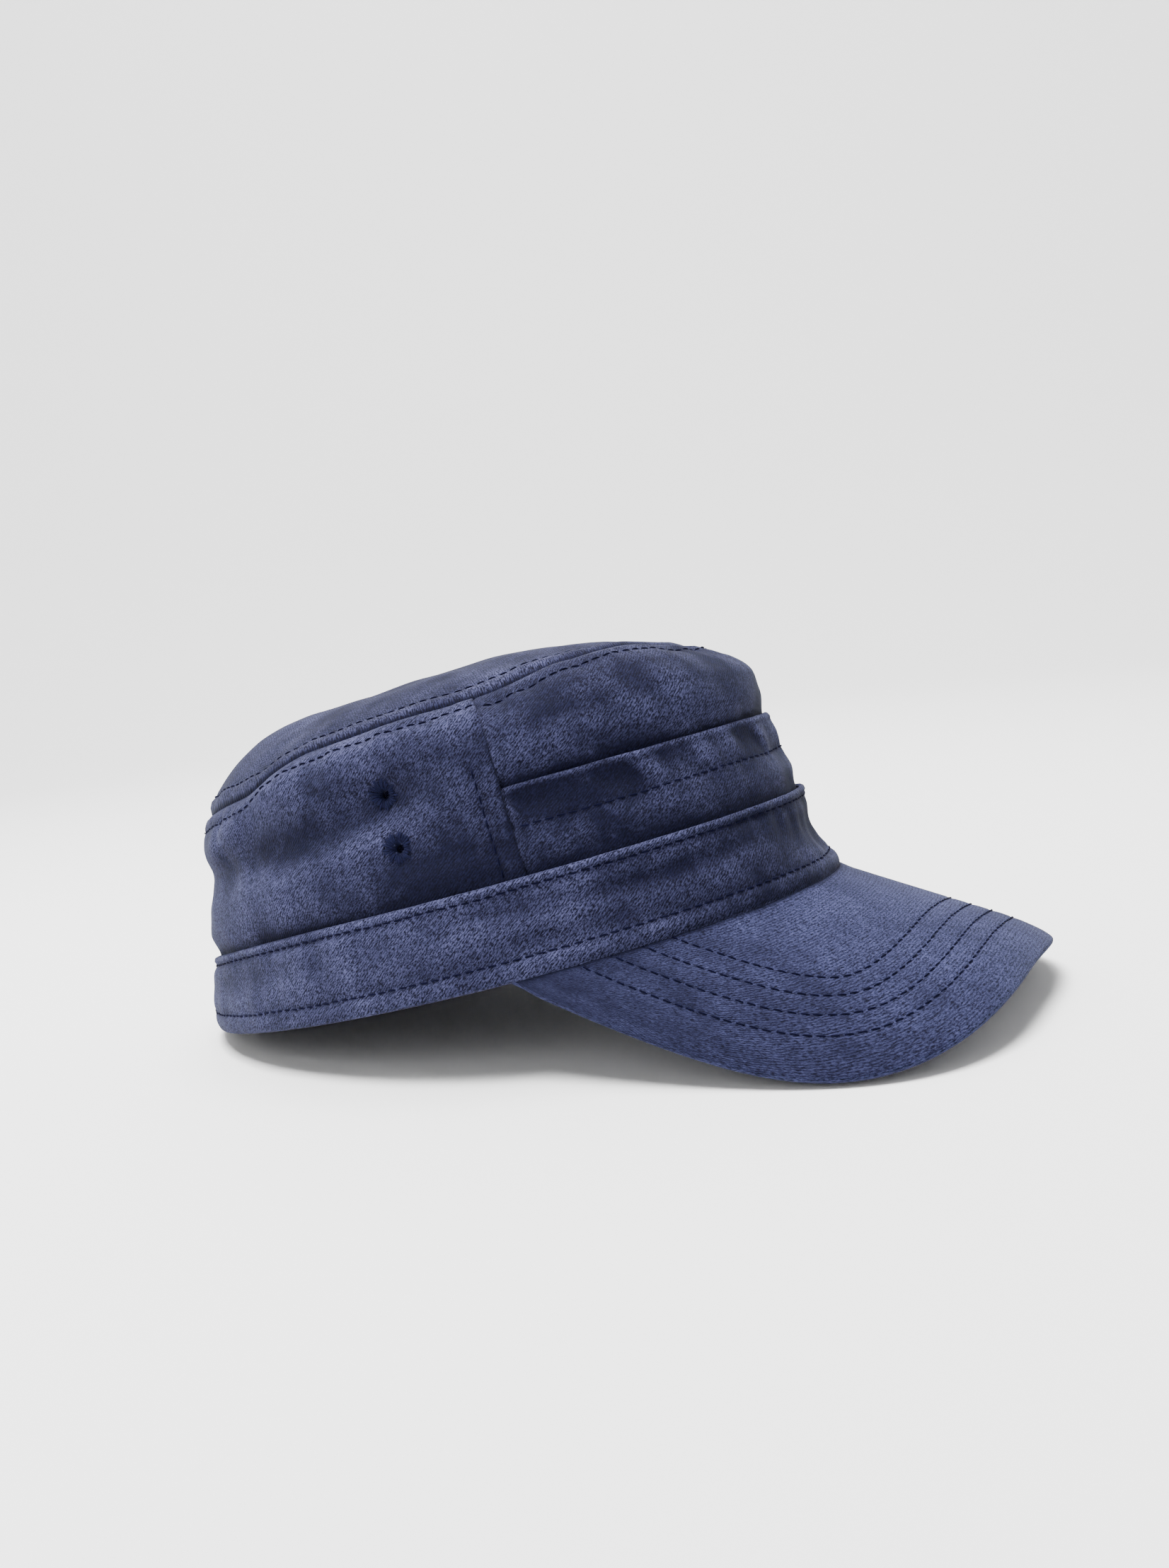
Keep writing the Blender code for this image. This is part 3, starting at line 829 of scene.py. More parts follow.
def band_skin():
    """The band: the head oval times a reach at each height, less its pressed creases.

    Its relief adds wrinkles, furrows, gathers that fade down from the fold, the padded hem
    as a half sine, the fold's roll and the grooves of two rows of stitches.
    """
    azimuth = ring_azimuths(CROWN_ROUND)
    edge = band_top(azimuth)
    low = BAND_WALL / 2 / edge
    share = rows_of(low, 1 - low, BAND_HEIGHT)
    base = Skin(on_oval(azimuth, through(share, BAND["height"], BAND["reach"]), share * edge,
                        crease_depth(azimuth, share)), closed=True)
    inside = eased(base.up / (7 * MM)) * eased(base.down / (5 * MM))
    gather = base.noise(5.5 * MM, 22, up=40 * MM, slant=0.2)
    form = (rumple(base, 11, broad=0.45, fine=0.26) + folds(BAND_FOLDS, azimuth, share)) * inside
    form += 0.30 * MM * base.noise(46 * MM, 21, up=7 * MM, slant=-1.6) * inside
    form += 0.45 * MM * gather * np.exp(-base.down / (9 * MM))
    hem, fold = base.line(base.up, HEM_ROW, 31), base.line(base.down, FOLD_ROW, 32)
    relief = form + pulled(base, fold, "fold", 33) + pulled(base, hem, "hem", 41)
    relief += 0.55 * MM * np.sin(np.clip(base.up / HEM_ROW, 0, 1) * math.pi) ** 0.8
    relief += fold_roll(base.down)
    # Wear and painted shade: the relief's wear with painted shade in its hollows, a worn pale fold
    # edge and hem ridge, and painted shade darkening the band towards the front
    wear = worn_and_shaded(form) + 1.4 * bell(base.down - 0.3 * MM, 0.45 * MM)
    wear = wear + 0.30 * bell(base.up - 2.4 * MM, 1.6 * MM)
    wear = wear - BAND_FRONT_PAINTED_SHADE * towards_front(azimuth, 66, 16)
    skin = base.raised(relief)
    skin.lines = [hem, fold]
    return skin, wear


def wall_skin(low, high, low_height, high_height, tucked=False):
    """Azimuths, rises as a share of the crown, and skin of a panel of the crown wall.

    The panel lies between two azimuths and two heights that are functions of the azimuth.
    """
    columns = int((high - low) / 360 * CROWN_ROUND / CELL)
    azimuth = np.linspace(low, high, columns)[None, :]
    start, end = low_height(azimuth), high_height(azimuth)
    height = rows_of(start, end, float((end - start).max()) * 1.1)
    return azimuth, (height - BAND_HEIGHT) / CROWN_RISE, Skin(crown_wall(azimuth, height, tucked))


def seam_line(azimuth):
    """Height at which the walls end at the top seam."""
    return top_seam(azimuth)[1] - 0.12 * MM


def behind_band(azimuth):
    """Height of the walls' hidden lower edge."""
    return band_top(azimuth) - HIDDEN_EDGE


def tuck_line(azimuth):
    """Height of the tuck's folded edge, less the half circle that rounds it."""
    return band_top(azimuth) + TUCK_RISE - PANEL_WALL / 2


def behind_tuck(azimuth):
    """Height of the upper front piece's hidden lower edge."""
    return band_top(azimuth) + TUCK_RISE - TUCK_DEPTH + 3 * MM


def lapped_under(skin, depth):
    """Relief of a front piece's side edges, which slip under the side panels."""
    edge = np.minimum(skin.left, skin.right)
    return -depth * (1 - eased((edge - 1.2 * MM) / (2.0 * MM)))


def shadow_above(skin, start, reach=2.2 * MM):
    """Darker strip where cloth comes out from behind a fold."""
    return -0.9 * bell(np.maximum(skin.up - start, 0.0), reach)


def seam_edge(skin):
    """Relief, and wear with painted shade, of a wall's top strip, from the seam to its topstitch.

    The strip turns in at the seam and is padded as a half sine, more in some places than in
    others.
    """
    padded = np.sin(np.clip(skin.down / WALL_TOPSTITCH, 0, 1) * math.pi)
    relief = seam_curl(skin.down) - 0.1 * MM * bell(skin.down, 2.2 * SEAM_CURL_WIDTH)
    relief += 0.35 * MM * padded
    relief += 0.35 * MM * padded ** 2 * skin.noise(7 * MM, 58, slant=0.3)
    # A worn pale strip on the padding, and painted shade in the seam's groove
    wear = 0.35 * bell(skin.down - 2.2 * MM, 1.6 * MM)
    return relief, wear - 1.4 * bell(skin.down, 0.8 * MM)


def front_lower_skin():
    """The front's lower piece, up to the tuck's fold.

    Its relief adds wrinkles, gathers as a bell across the tuck's strip, the fold's roll and
    the tuck's row of stitches. Its side edges slip under the side panels.
    """
    edge = SIDE_SEAM_AZIMUTH + FRONT_LAP
    _, _, base = wall_skin(-edge, edge, behind_band, tuck_line)
    strip = bell(base.down - 5.5 * MM, 4.5 * MM)
    gather = base.noise(6 * MM, 52, up=30 * MM, slant=0.45)
    form = rumple(base, 51, broad=0.40, fine=0.18) * eased(base.down / (6 * MM))
    form += 1.15 * MM * gather * strip
    tuck = base.line(base.down, TUCK_DEPTH, 54)
    relief = form + pulled(base, tuck, "tuck", 53) + fold_roll(base.down, 0.40 * MM)
    relief += lapped_under(base, 0.9 * MM)
    # Wear and painted shade: the relief's wear with painted shade in its hollows, the walls'
    # darkening, painted shade towards the front, painted light and shade of the tuck strip's puckers
    # with the strip darker as a whole, a worn pale fold edge, and a painted shadow above the band
    wear = worn_and_shaded(form, 1.0) - WALL_DARKENING - 0.85 * WALL_FRONT_PAINTED_SHADE + (0.95 * gather - 0.30) * strip
    wear = wear + 1.9 * bell(base.down - 0.3 * MM, 0.45 * MM) + shadow_above(base, HIDDEN_EDGE)
    skin = base.raised(relief)
    skin.lines = [tuck]
    return skin, wear


def front_upper_skin():
    """The front's upper piece, from behind the tuck to the top seam.

    Its relief adds wrinkles, soft folds, the seam's edge and the topstitch.
    """
    edge = SIDE_SEAM_AZIMUTH + FRONT_LAP
    azimuth, level, base = wall_skin(-edge, edge, behind_tuck, seam_line, tucked=True)
    form = rumple(base, 61, broad=0.60, fine=0.30) + folds(WALL_FOLDS, azimuth, level)
    form *= eased(base.down / (6 * MM))
    topstitch = base.line(base.down, WALL_TOPSTITCH, 64)
    roll, strip_wear_and_shade = seam_edge(base)
    relief = form + pulled(base, topstitch, "seam", 62, eased(base.down / (5 * MM)))
    relief += roll + lapped_under(base, 0.45 * MM)
    # Wear and painted shade: the relief's wear with painted shade in its hollows, the walls'
    # darkening, the seam strip's wear and painted shade, a painted shadow above the tuck, and painted
    # shade towards the front
    wear = worn_and_shaded(form) - WALL_DARKENING + strip_wear_and_shade + shadow_above(base, TUCK_DEPTH - 3 * MM)
    wear = wear - 0.75 * WALL_FRONT_PAINTED_SHADE
    skin = base.raised(relief)
    skin.lines = [topstitch]
    return skin, wear


def side_skin(sign):
    """One side's wall panel, sign -1 for the wearer's right and 1 for the left.

    Its relief adds wrinkles, soft folds, gathers that fade away from the side seam, the
    seam's padded and puckered strip with an upright row of stitches, a groove at the middle
    of the back, and a hollow as two bells round each eyelet.
    """
    ends = (-180, -SIDE_SEAM_AZIMUTH) if sign < 0 else (SIDE_SEAM_AZIMUTH, 180)
    azimuth, level, base = wall_skin(*ends, behind_band, seam_line)
    seam = base.right if sign < 0 else base.left
    centre_back = base.left if sign < 0 else base.right
    seed = 70 if sign < 0 else 90
    gather = base.noise(5 * MM, seed + 7, up=26 * MM, slant=0.3)
    form = rumple(base, seed, broad=0.55, fine=0.30) + folds(WALL_FOLDS, azimuth, level)
    form *= eased(base.down / (6 * MM))
    form += 0.35 * MM * gather * np.exp(-seam / (14 * MM)) * eased(base.down / (9 * MM))
    topstitch = base.line(base.down, WALL_TOPSTITCH, seed + 8)
    roll, strip_wear_and_shade = seam_edge(base)
    relief = form + pulled(base, topstitch, "seam", seed + 3, eased(base.down / (5 * MM))) + roll
    upright = base.line(seam, SIDE_TOPSTITCH, seed + 9)
    low = eased((0.62 - level) / 0.2)
    relief += 0.26 * MM * eased(-upright / (2 * MM)) * (0.4 + 0.6 * low)
    relief -= (0.08 * MM + 0.26 * MM * low) * bell(upright, 1.1 * MM) * eased(base.down / (8 * MM))
    pinch = base.noise(12 * MM, seed + 10, up=4.5 * MM, slant=-0.5) * bell(seam - 3 * MM, 5 * MM)
    relief += 0.42 * MM * pinch * eased(base.down / (9 * MM))
    relief -= 0.9 * MM * bell(centre_back, 1.3 * MM)
    for centre_azimuth, share in EYELETS.values():
        if centre_azimuth * sign > 0:
            centre = eyelet_centre(centre_azimuth, share)
            gap = np.linalg.norm(base.points - centre, axis=-1)
            relief -= 0.8 * MM * bell(gap, 3.0 * MM) + 0.6 * MM * bell(gap, 7.0 * MM)
    # Wear and painted shade: the relief's and the pinches' wear with painted shade in their hollows,
    # the walls' darkening, the seam strip's wear and painted shade, painted shade along the side
    # seam, its upright row and the centre back groove, painted shade towards the front, and a painted
    # shadow above the band
    wear = worn_and_shaded(form) - WALL_DARKENING + strip_wear_and_shade - (0.3 + 0.6 * low) * bell(seam, 0.7 * MM)
    wear = wear - (0.05 + 0.25 * low) * bell(upright, 1.1 * MM) + 0.35 * pinch
    wear = wear - WALL_FRONT_PAINTED_SHADE * towards_front(azimuth, 98, 68) * (0.35 + 0.65 * low)
    wear = wear + shadow_above(base, HIDDEN_EDGE) - 0.7 * bell(centre_back, 1.2 * MM)
    skin = base.raised(relief)
    skin.lines = [topstitch]
    skin.upright = upright
    skin.low_rows = int((level[:, -1 if sign < 0 else 0] < 0.5).sum())
    return skin, wear


def eyelet_centre(azimuth, share):
    """Point on the level crown wall at an eyelet's azimuth and rise."""
    return crown_wall(np.array(azimuth), BAND_HEIGHT + share * CROWN_RISE)


def nearest_point(skin, place):
    """Row and column of the point of a skin that is nearest to a place."""
    gap = np.linalg.norm(skin.points - place, axis=-1)
    return np.unravel_index(gap.argmin(), gap.shape)


def top_skin():
    """The top: the seam's oval drawn in towards the middle while the dome rises.

    Its relief adds wrinkles over its plan, the strip inside the seam as a half sine, and the
    puckers and groove of its topstitch.
    """
    azimuth = ring_azimuths(TOP_ROUND)
    seam_reach, seam_height = top_seam(azimuth)
    crest = BAND_HEIGHT + CROWN_RISE
    start = round_the_head(azimuth, 0.10, 0.20, 0.06) * MM
    first = start / (seam_reach * HEAD_WIDTH / 2)
    inward = first + (TOP_POLE - first) * np.linspace(0, 1, TOP_ROWS)[:, None]
    height = seam_height + profile(DOME, "inward", inward, azimuth) * (crest - seam_height)
    base = Skin(on_oval(azimuth, seam_reach * (1 - inward), height), closed=True)
    x, y = base.points[..., 0] / MM, base.points[..., 1] / MM
    form = 0.7 * wander(x / 26, y / 40, 111) + 0.4 * wander(x / 12 + 7, y / 22, 112)
    form = (form + 0.18 * wander(x / 7, y / 8, 113)) * MM * eased(base.up / (9 * MM))
    form += 0.40 * MM * base.noise(50 * MM, 116, up=2.8 * MM) * bell(base.up - 4.5 * MM, 3.5 * MM)
    topstitch = base.line(base.up, TOP_TOPSTITCH, 117)
    inside = eased(base.up / (5 * MM)) * eased(base.down / (14 * MM))
    relief = form + pulled(base, topstitch, "seam", 114, inside)
    relief += 0.35 * MM * np.sin(np.clip(base.up / TOP_TOPSTITCH, 0, 1) * math.pi)
    relief += seam_curl(base.up)
    # Wear and painted shade: the relief's wear with painted shade in its hollows, a worn pale strip
    # inside the seam, painted shade in the seam's groove, and painted shade darkening the whole top
    wear = worn_and_shaded(form) + 0.35 * bell(base.up - 2.0 * MM, 1.5 * MM)
    wear = wear - 1.4 * bell(base.up, 0.8 * MM) - TOP_PAINTED_SHADE
    skin = base.raised(relief)
    skin.lines = [topstitch]
    return skin, wear


# The brim's width along its edge and its length down its slope, its rows of stitches, how far
# its sewn edge goes in and up under the band, and how far its front edge droops and rolls
BRIM_ROUND = 300 * MM
BRIM_LENGTH = 62 * MM
BRIM_ROWS_FROM_EDGE = [(13.3 + 6.1 * k) * MM for k in range(4)]
BRIM_TUCKED_IN = 1.6 * MM
BRIM_LIFT = 0.6 * MM
BRIM_DROOP = 2.6 * MM
BRIM_EDGE_ROLL = 1.6 * MM


def brim_skin():
    """The brim: straight lines from its outline in to the head oval, on its sloping sheet.

    Its relief adds soft waves, the rounded and drooping front edge as bells of the distance
    from the edge, and the grooves of its rows of stitches.
    """
    columns = int(BRIM_ROUND / CELL)
    corner = BRIM_CORNER_AZIMUTH - math.degrees(BRIM_WALL / (HEAD_WIDTH / 2))
    azimuth = np.linspace(-corner, corner, LINE_SAMPLES)
    inner = evenly(on_oval(azimuth, 1.0, 0.0, BRIM_TUCKED_IN)[:, :2], columns)
    outer = evenly(brim_outline(inset=BRIM_WALL / 2), columns)
    count = int(BRIM_LENGTH / CELL)
    share = np.linspace(0, 1, count)[:, None, None]
    plan = outer + (inner - outer) * share
    height = brim_height(plan[..., 0], plan[..., 1])
    height = height + BRIM_LIFT * eased((height + 3 * MM) / (3 * MM))
    base = Skin(np.concatenate((plan, height[..., None]), axis=-1))
    from_edge = edge_distance(base.points)
    relief = 0.10 * MM * base.noise(22 * MM, 131, up=16 * MM)
    relief -= 0.35 * MM * bell(from_edge, 1.8 * MM)
    droop = BRIM_DROOP * bell(from_edge, 9 * MM) + BRIM_EDGE_ROLL * bell(from_edge, 3.2 * MM)
    relief -= droop * bell(base.points[..., 0], 44 * MM)
    outward = np.abs(base.points[..., 0]) / (HEAD_WIDTH / 2)
    # A worn pale edge, and painted shade darkening the brim towards its sides
    wear = 0.25 * bell(from_edge, 2.0 * MM) + 0.10 - 0.85 * eased((outward - 0.25) / 0.65)
    lines = [from_edge - offset for offset in BRIM_ROWS_FROM_EDGE]
    for number, line in enumerate(lines):
        relief += pulled(base, line, "brim", 132 + number)
    # Painted shadow where the brim goes in under the band
    wear = wear - 1.0 * bell(base.down - BRIM_TUCKED_IN, 1.4 * MM)
    skin = base.raised(relief)
    skin.lines = lines
    return skin, wear


def edge_distance(points):
    """Distance on the brim's slope from each point to the nearest of many on its outline."""
    line = brim_outline(samples=400)
    line = np.concatenate((line, brim_height(line[:, 0], line[:, 1])[:, None]), axis=-1)
    line = evenly(line, 500)
    flat = points.reshape(-1, 3)
    nearest = np.full(len(flat), 1.0)
    for part in np.array_split(line, 20):
        gap = np.linalg.norm(flat[:, None] - part[None], axis=-1).min(axis=1)
        nearest = np.minimum(nearest, gap)
    return nearest.reshape(points.shape[:-1])


class Value:
    """A node socket in arithmetic: each operation adds the Math node that works it out."""

    def __init__(self, tree, socket):
        self.tree = tree
        self.socket = socket

    def math(self, operation, *values):
        """Add a Math node that is fed by values and numbers."""
        node = self.tree.nodes.new("ShaderNodeMath")
        node.operation = operation
        for slot, value in zip(node.inputs, values):
            if isinstance(value, Value):
                self.tree.links.new(value.socket, slot)
            else:
                slot.default_value = value
        return Value(self.tree, node.outputs[0])

    def __add__(self, other):
        return self.math("ADD", self, other)

    def __radd__(self, other):
        return self.math("ADD", other, self)

    def __sub__(self, other):
        return self.math("SUBTRACT", self, other)

    def __rsub__(self, other):
        return self.math("SUBTRACT", other, self)

    def __mul__(self, other):
        return self.math("MULTIPLY", self, other)

    def __rmul__(self, other):
        return self.math("MULTIPLY", other, self)

    def sine(self):
        """Sine of the value in radians."""
        return self.math("SINE", self)

    def clamped(self):
        """The value held between 0 and 1."""
        return self.math("MINIMUM", self.math("MAXIMUM", self, 0.0), 1.0)


class Finish:
    """A Principled material that is put together from nodes."""

    def __init__(self, name, roughness, **constants):
        self.material = bpy.data.materials.new(name)
        self.material.use_nodes = True
        self.tree = self.material.node_tree
        self.shader = self.tree.nodes["Principled BSDF"]
        self.shader.inputs["Roughness"].default_value = roughness
        for socket, value in constants.items():
            self.shader.inputs[socket.replace("_", " ")].default_value = value

    def node(self, kind, inputs=None, output=0, **settings):
        """Add a node of a type, set its settings, then the values or links of its sockets."""
        node = self.tree.nodes.new(kind)
        for name, value in settings.items():
            setattr(node, name, value)
        for name, value in (inputs or {}).items():
            if isinstance(value, Value):
                self.tree.links.new(value.socket, node.inputs[name])
            else:
                node.inputs[name].default_value = value
        return Value(self.tree, node.outputs[output])

    def feed(self, name, value):
        """Link a value to one of the shader's sockets."""
        self.tree.links.new(value.socket, self.shader.inputs[name])

    def noise(self, vector, scale, detail=2.0, roughness=0.55):
        """Noise from 0 to 1 with so many cells to a unit of the vector."""
        inputs = {"Vector": vector, "Scale": scale, "Detail": detail, "Roughness": roughness}
        return self.node("ShaderNodeTexNoise", inputs, output="Fac")

    def mixed(self, share, low, high):
        """Blend of two colours by a share."""
        inputs = {0: share, 6: low, 7: high}
        return self.node("ShaderNodeMix", inputs, output=2, data_type="RGBA")


def twill_finish(name, dark, deep, pale, sizes, angle, contrast):
    """Washed twill: fine slanting ribs, a mottle of pale and dark fibres, and wear with painted
    shade.

    The cloth coordinates are in mm. A rib is a sine across its slant. The upper fibres go
    from the deep to the pale dye by a tone that adds blotches of washing to the wear and the
    painted shade that the folds, seams and sides of the piece carry. Between them the dark
    fibres show by a share that adds ribs, fibres at two sizes and a little of that wear and shade.
    """
    finish = Finish(name, 0.9, Sheen_Weight=0.04, Sheen_Roughness=0.5,
                    Sheen_Tint=(0.55, 0.62, 0.9, 1.0), Specular_IOR_Level=0.08)
    cloth = finish.node("ShaderNodeUVMap", uv_map="cloth")
    wear = finish.node("ShaderNodeAttribute", output="Fac", attribute_name="wear")
    turned = finish.node("ShaderNodeVectorRotate", {"Vector": cloth, "Angle": angle},
                         rotation_type="Z_AXIS")
    across = finish.node("ShaderNodeSeparateXYZ", {"Vector": turned}, output="X")
    along = finish.node("ShaderNodeSeparateXYZ", {"Vector": turned}, output="Y")
    waver = finish.noise(cloth, 0.35, detail=1.0)
    rib = (across * (2 * math.pi / sizes.twill_pitch) + waver * 6.0).sine()
    crossing = (along * (2 * math.pi / (2.2 * sizes.twill_pitch)) + across * 5.0).sine()
    streaked = finish.node("ShaderNodeMapping", {"Vector": turned, "Scale": (1.0, 0.30, 1.0)})
    fibre = finish.noise(streaked, 3.8, detail=2.0, roughness=0.7)
    fleck = finish.noise(streaked, 1.3, detail=1.0)
    blotch = finish.noise(cloth, 0.16, detail=3.0, roughness=0.6)
    wash = finish.noise(cloth, 0.06, detail=1.0)
    tone = (0.55 + wear * 0.40 + (blotch - 0.5) * (0.75 * contrast)
            + (wash - 0.5) * (1.1 * contrast)).clamped()
    share = (0.45 + (fibre - 0.5) * (4.6 * contrast) + (fleck - 0.5) * (1.6 * contrast)
             + wear * 0.06 + rib * (0.20 * contrast)).clamped()
    upper = finish.mixed(tone, (*deep, 1.0), (*pale, 1.0))
    finish.feed("Base Color", finish.mixed(share, (*dark, 1.0), upper))
    height = rib * 0.5 + crossing * 0.22 + (fibre - 0.5) * 1.6
    bump = {"Strength": 0.55, "Distance": 0.12 * MM, "Height": height}
    finish.feed("Normal", finish.node("ShaderNodeBump", bump))
    return finish.material


def thread_finish(name, colour, strands=2600.0):
    """Sewing thread: darker and paler strands, as many to a metre as given."""
    finish = Finish(name, 0.75, Specular_IOR_Level=0.05)
    place = finish.node("ShaderNodeTexCoord", output="Object")
    strand = finish.noise(place, strands, detail=1.0)
    dark = tuple(0.5 * c for c in colour)
    pale = tuple(min(1.0, 2.2 * c) for c in colour)
    finish.feed("Base Color", finish.mixed(strand, (*dark, 1.0), (*pale, 1.0)))
    bump = {"Strength": 0.4, "Distance": 0.08 * MM, "Height": strand}
    finish.feed("Normal", finish.node("ShaderNodeBump", bump))
    return finish.material


def cloth_height(spots, cloth, side, up, out):
    """Height of the cloth at many spots of a plane through the origin.

    It is the mean height of the cloth's points, each weighed by a bell of its distance.
    """
    plane = np.stack((cloth @ side, cloth @ up), axis=-1)
    spot = np.stack((spots @ side, spots @ up), axis=-1)
    weight = bell(np.linalg.norm(spot[:, :, None] - plane, axis=-1), 0.6 * MM) + 1e-9
    return (weight * (cloth @ out)).sum(-1) / weight.sum(-1)


def eyelet_neck(hole, side, up, out):
    """Vertices and faces of a ring inside the hole: an oblong profile turned round its axis."""
    radius = hole + NECK["radius"][:, None, None] * MM
    height = NECK["height"][:, None, None] * MM
    swing = np.linspace(0, 2 * math.pi, NECK_SIDES + 1)[:-1, None]
    ring = radius * (np.cos(swing) * side + np.sin(swing) * up) + height * out
    index = np.arange(4 * NECK_SIDES).reshape(4, NECK_SIDES)
    index = wrapped(wrapped(index, 0), 1)
    return ring.reshape(-1, 3), np.swapaxes(cell_corners(index.T), 0, 1).reshape(-1, 4)


def eyelet_threads(name, azimuth, share, skin, sizes, material):
    """Ring of radial satin stitches that dips into its hole, over a turned neck.

    A thread's height over the cloth is a power of a half sine from its outer end to the
    hole's edge, and its last part turns down into the hole.
    """
    centre = eyelet_centre(azimuth, share)
    nearest = nearest_point(skin, centre)
    middle, out = skin.points[nearest], skin.base_normal[nearest]
    side = unit(np.cross(np.array((0.0, 0.0, 1.0)), out))
    up = np.cross(out, side)
    hole, edge = sizes.eyelet_hole / 2, sizes.eyelet_width / 2
    random = np.random.default_rng(hash_of(name))
    turn = np.arange(EYELET_THREADS) + random.uniform(-0.2, 0.2, EYELET_THREADS)
    turn = turn[:, None] * 2 * math.pi / EYELET_THREADS
    reach = edge * (1 + random.uniform(-0.22, 0.08, EYELET_THREADS))
    way = np.linspace(0, 1, 9)
    radial = hole + (reach[:, None] - hole) * way
    flat = radial[..., None] * (np.cos(turn) * side + np.sin(turn) * up)[:, None]
    grid = skin.points.reshape(-1, 3)
    near = grid[np.linalg.norm(grid - centre, axis=-1) < 1.6 * edge] - middle
    arch = 0.34 * MM * np.sin(np.clip(way * 1.02, 0, 1) * math.pi) ** 0.6
    dive = -EYELET_DEPTH * (1 - eased(way / 0.22))
    lift = cloth_height(flat, near, side, up, out) + arch + dive
    lift += random.uniform(0, 0.10, EYELET_THREADS)[:, None] * MM
    spine = middle + flat + lift[..., None] * out
    tangent = unit(np.gradient(spine, axis=1))
    flank = unit(np.cross(tangent, out))
    width = (0.11 + 0.30 * way) * np.where(way > 0.95, 0.35, 1.0) * MM
    vertices, faces = tubes(spine, flank, np.cross(flank, tangent), width, 0.8)
    neck, neck_faces = eyelet_neck(hole, side, up, out)
    faces += (neck_faces + len(vertices)).tolist()
    vertices = np.concatenate((vertices, middle + neck))
    return dress(name + "_threads", vertices, faces, material, name)


def hash_of(name):
    """A steady number from a name: the sum of its letters' codes times their places."""
    return sum((place + 1) * ord(letter) for place, letter in enumerate(name))


class CapSizes(bpy.types.PropertyGroup):
    """Sizes of the cap's thread and weave."""

    stitch_length: FloatProperty(
        name="Stitch length", description="Length of thread that shows in one stitch",
        default=2.6 * MM, unit="LENGTH")
    stitch_pitch: FloatProperty(
        name="Stitch pitch", description="Distance from one stitch to the next",
        default=3.3 * MM, unit="LENGTH")
    thread_width: FloatProperty(
        name="Thread width", description="Width of the sewing thread",
        default=0.50 * MM, unit="LENGTH")
    twill_pitch: FloatProperty(
        name="Twill pitch", description="Distance between the twill's ribs, in millimetres",
        default=0.70)
    eyelet_width: FloatProperty(
        name="Eyelet width", description="Outside width of a sewn eyelet",
        default=8.5 * MM, unit="LENGTH")
    eyelet_hole: FloatProperty(
        name="Eyelet hole", description="Width of the hole in a sewn eyelet",
        default=2.2 * MM, unit="LENGTH")


class CapColours(bpy.types.PropertyGroup):
    """Colours of the cap's cloth and thread."""

    # The dark fibres show a little more where wear is low, so in the hollows this colour also stands
    # for painted shade
    crown_dark: FloatVectorProperty(
        name="Crown dark", description="Dye in the crown's hollows and dark fibres",
        default=(0.0020, 0.0021, 0.0075), subtype="COLOR")
    # The tone falls towards the deep colour where wear is low, so it also stands for painted shade on
    # the walls, the top and the front
    crown_deep: FloatVectorProperty(
        name="Crown deep", description="Crown's upper fibres where the dye is deepest",
        default=(0.0062, 0.0068, 0.0240), subtype="COLOR")
    crown_pale: FloatVectorProperty(
        name="Crown pale", description="Crown's most worn and washed fibres",
        default=(0.0670, 0.0700, 0.1500), subtype="COLOR")
    brim_dark: FloatVectorProperty(
        name="Brim dark", description="Dye in the brim's dark fibres",
        default=(0.0022, 0.0024, 0.0090), subtype="COLOR")
    # The tone falls towards the deep colour where wear is low, so it also stands for painted shade
    # towards the brim's sides and under the band
    brim_deep: FloatVectorProperty(
        name="Brim deep", description="Brim's upper fibres where the dye is deepest",
        default=(0.0090, 0.0100, 0.0310), subtype="COLOR")
    brim_pale: FloatVectorProperty(
        name="Brim pale", description="Brim's most worn and washed fibres",
        default=(0.0590, 0.0640, 0.1500), subtype="COLOR")
    eyelet: FloatVectorProperty(
        name="Eyelet thread", description="Thread round the air holes",
        default=(0.0048, 0.0054, 0.0185), subtype="COLOR")
    thread: FloatVectorProperty(
        name="Thread", description="Sewing thread",
        default=(0.0012, 0.0014, 0.0090), subtype="COLOR")


class StageSettings(bpy.types.PropertyGroup):
    """Light and floor of the studio."""

    key_power: FloatProperty(
        name="Key light", description="Power of the large light above the wearer's right",
        default=58.0, unit="POWER")
    fill_power: FloatProperty(
        name="Fill light", description="Power of the light at the camera's side",
        default=3.5, unit="POWER")
    back_power: FloatProperty(
        name="Back light", description="Power of the light above the far side",
        default=8.0, unit="POWER")
    wall_power: FloatProperty(
        name="Wall light", description="Power of the light on the backdrop behind the cap",
        default=125.0, unit="POWER")
    floor_colour: FloatVectorProperty(
        name="Floor", description="Pale floor and backdrop",
        default=(0.80, 0.80, 0.80), subtype="COLOR")


def crown_material():
    """The crown's twill, made once and shared."""
    made = bpy.data.materials.get("washed_crown")
    scene = bpy.context.scene
    return made or twill_finish("washed_crown", scene.cap_colours.crown_dark,
                                scene.cap_colours.crown_deep, scene.cap_colours.crown_pale,
                                scene.cap_sizes, math.radians(52), 1.0)


def thread_material():
    """The sewing thread, made once and shared."""
    made = bpy.data.materials.get("sewing_thread")
    return made or thread_finish("sewing_thread", bpy.context.scene.cap_colours.thread)


def eyelet_material():
    """The paler thread of the eyelets, made once and shared."""
    made = bpy.data.materials.get("eyelet_thread")
    return made or thread_finish("eyelet_thread", bpy.context.scene.cap_colours.eyelet, 1200.0)


class CapPiece:
    """What the cap's operators share."""

    bl_options = {"REGISTER", "UNDO"}

    def finish_with(self, made):
        """Raise an error if a piece has no faces, or else say that the work is done."""
        if not made or not all(len(piece.data.polygons) for piece in made):
            raise RuntimeError(f"{self.bl_label} made an empty piece")
        return {"FINISHED"}


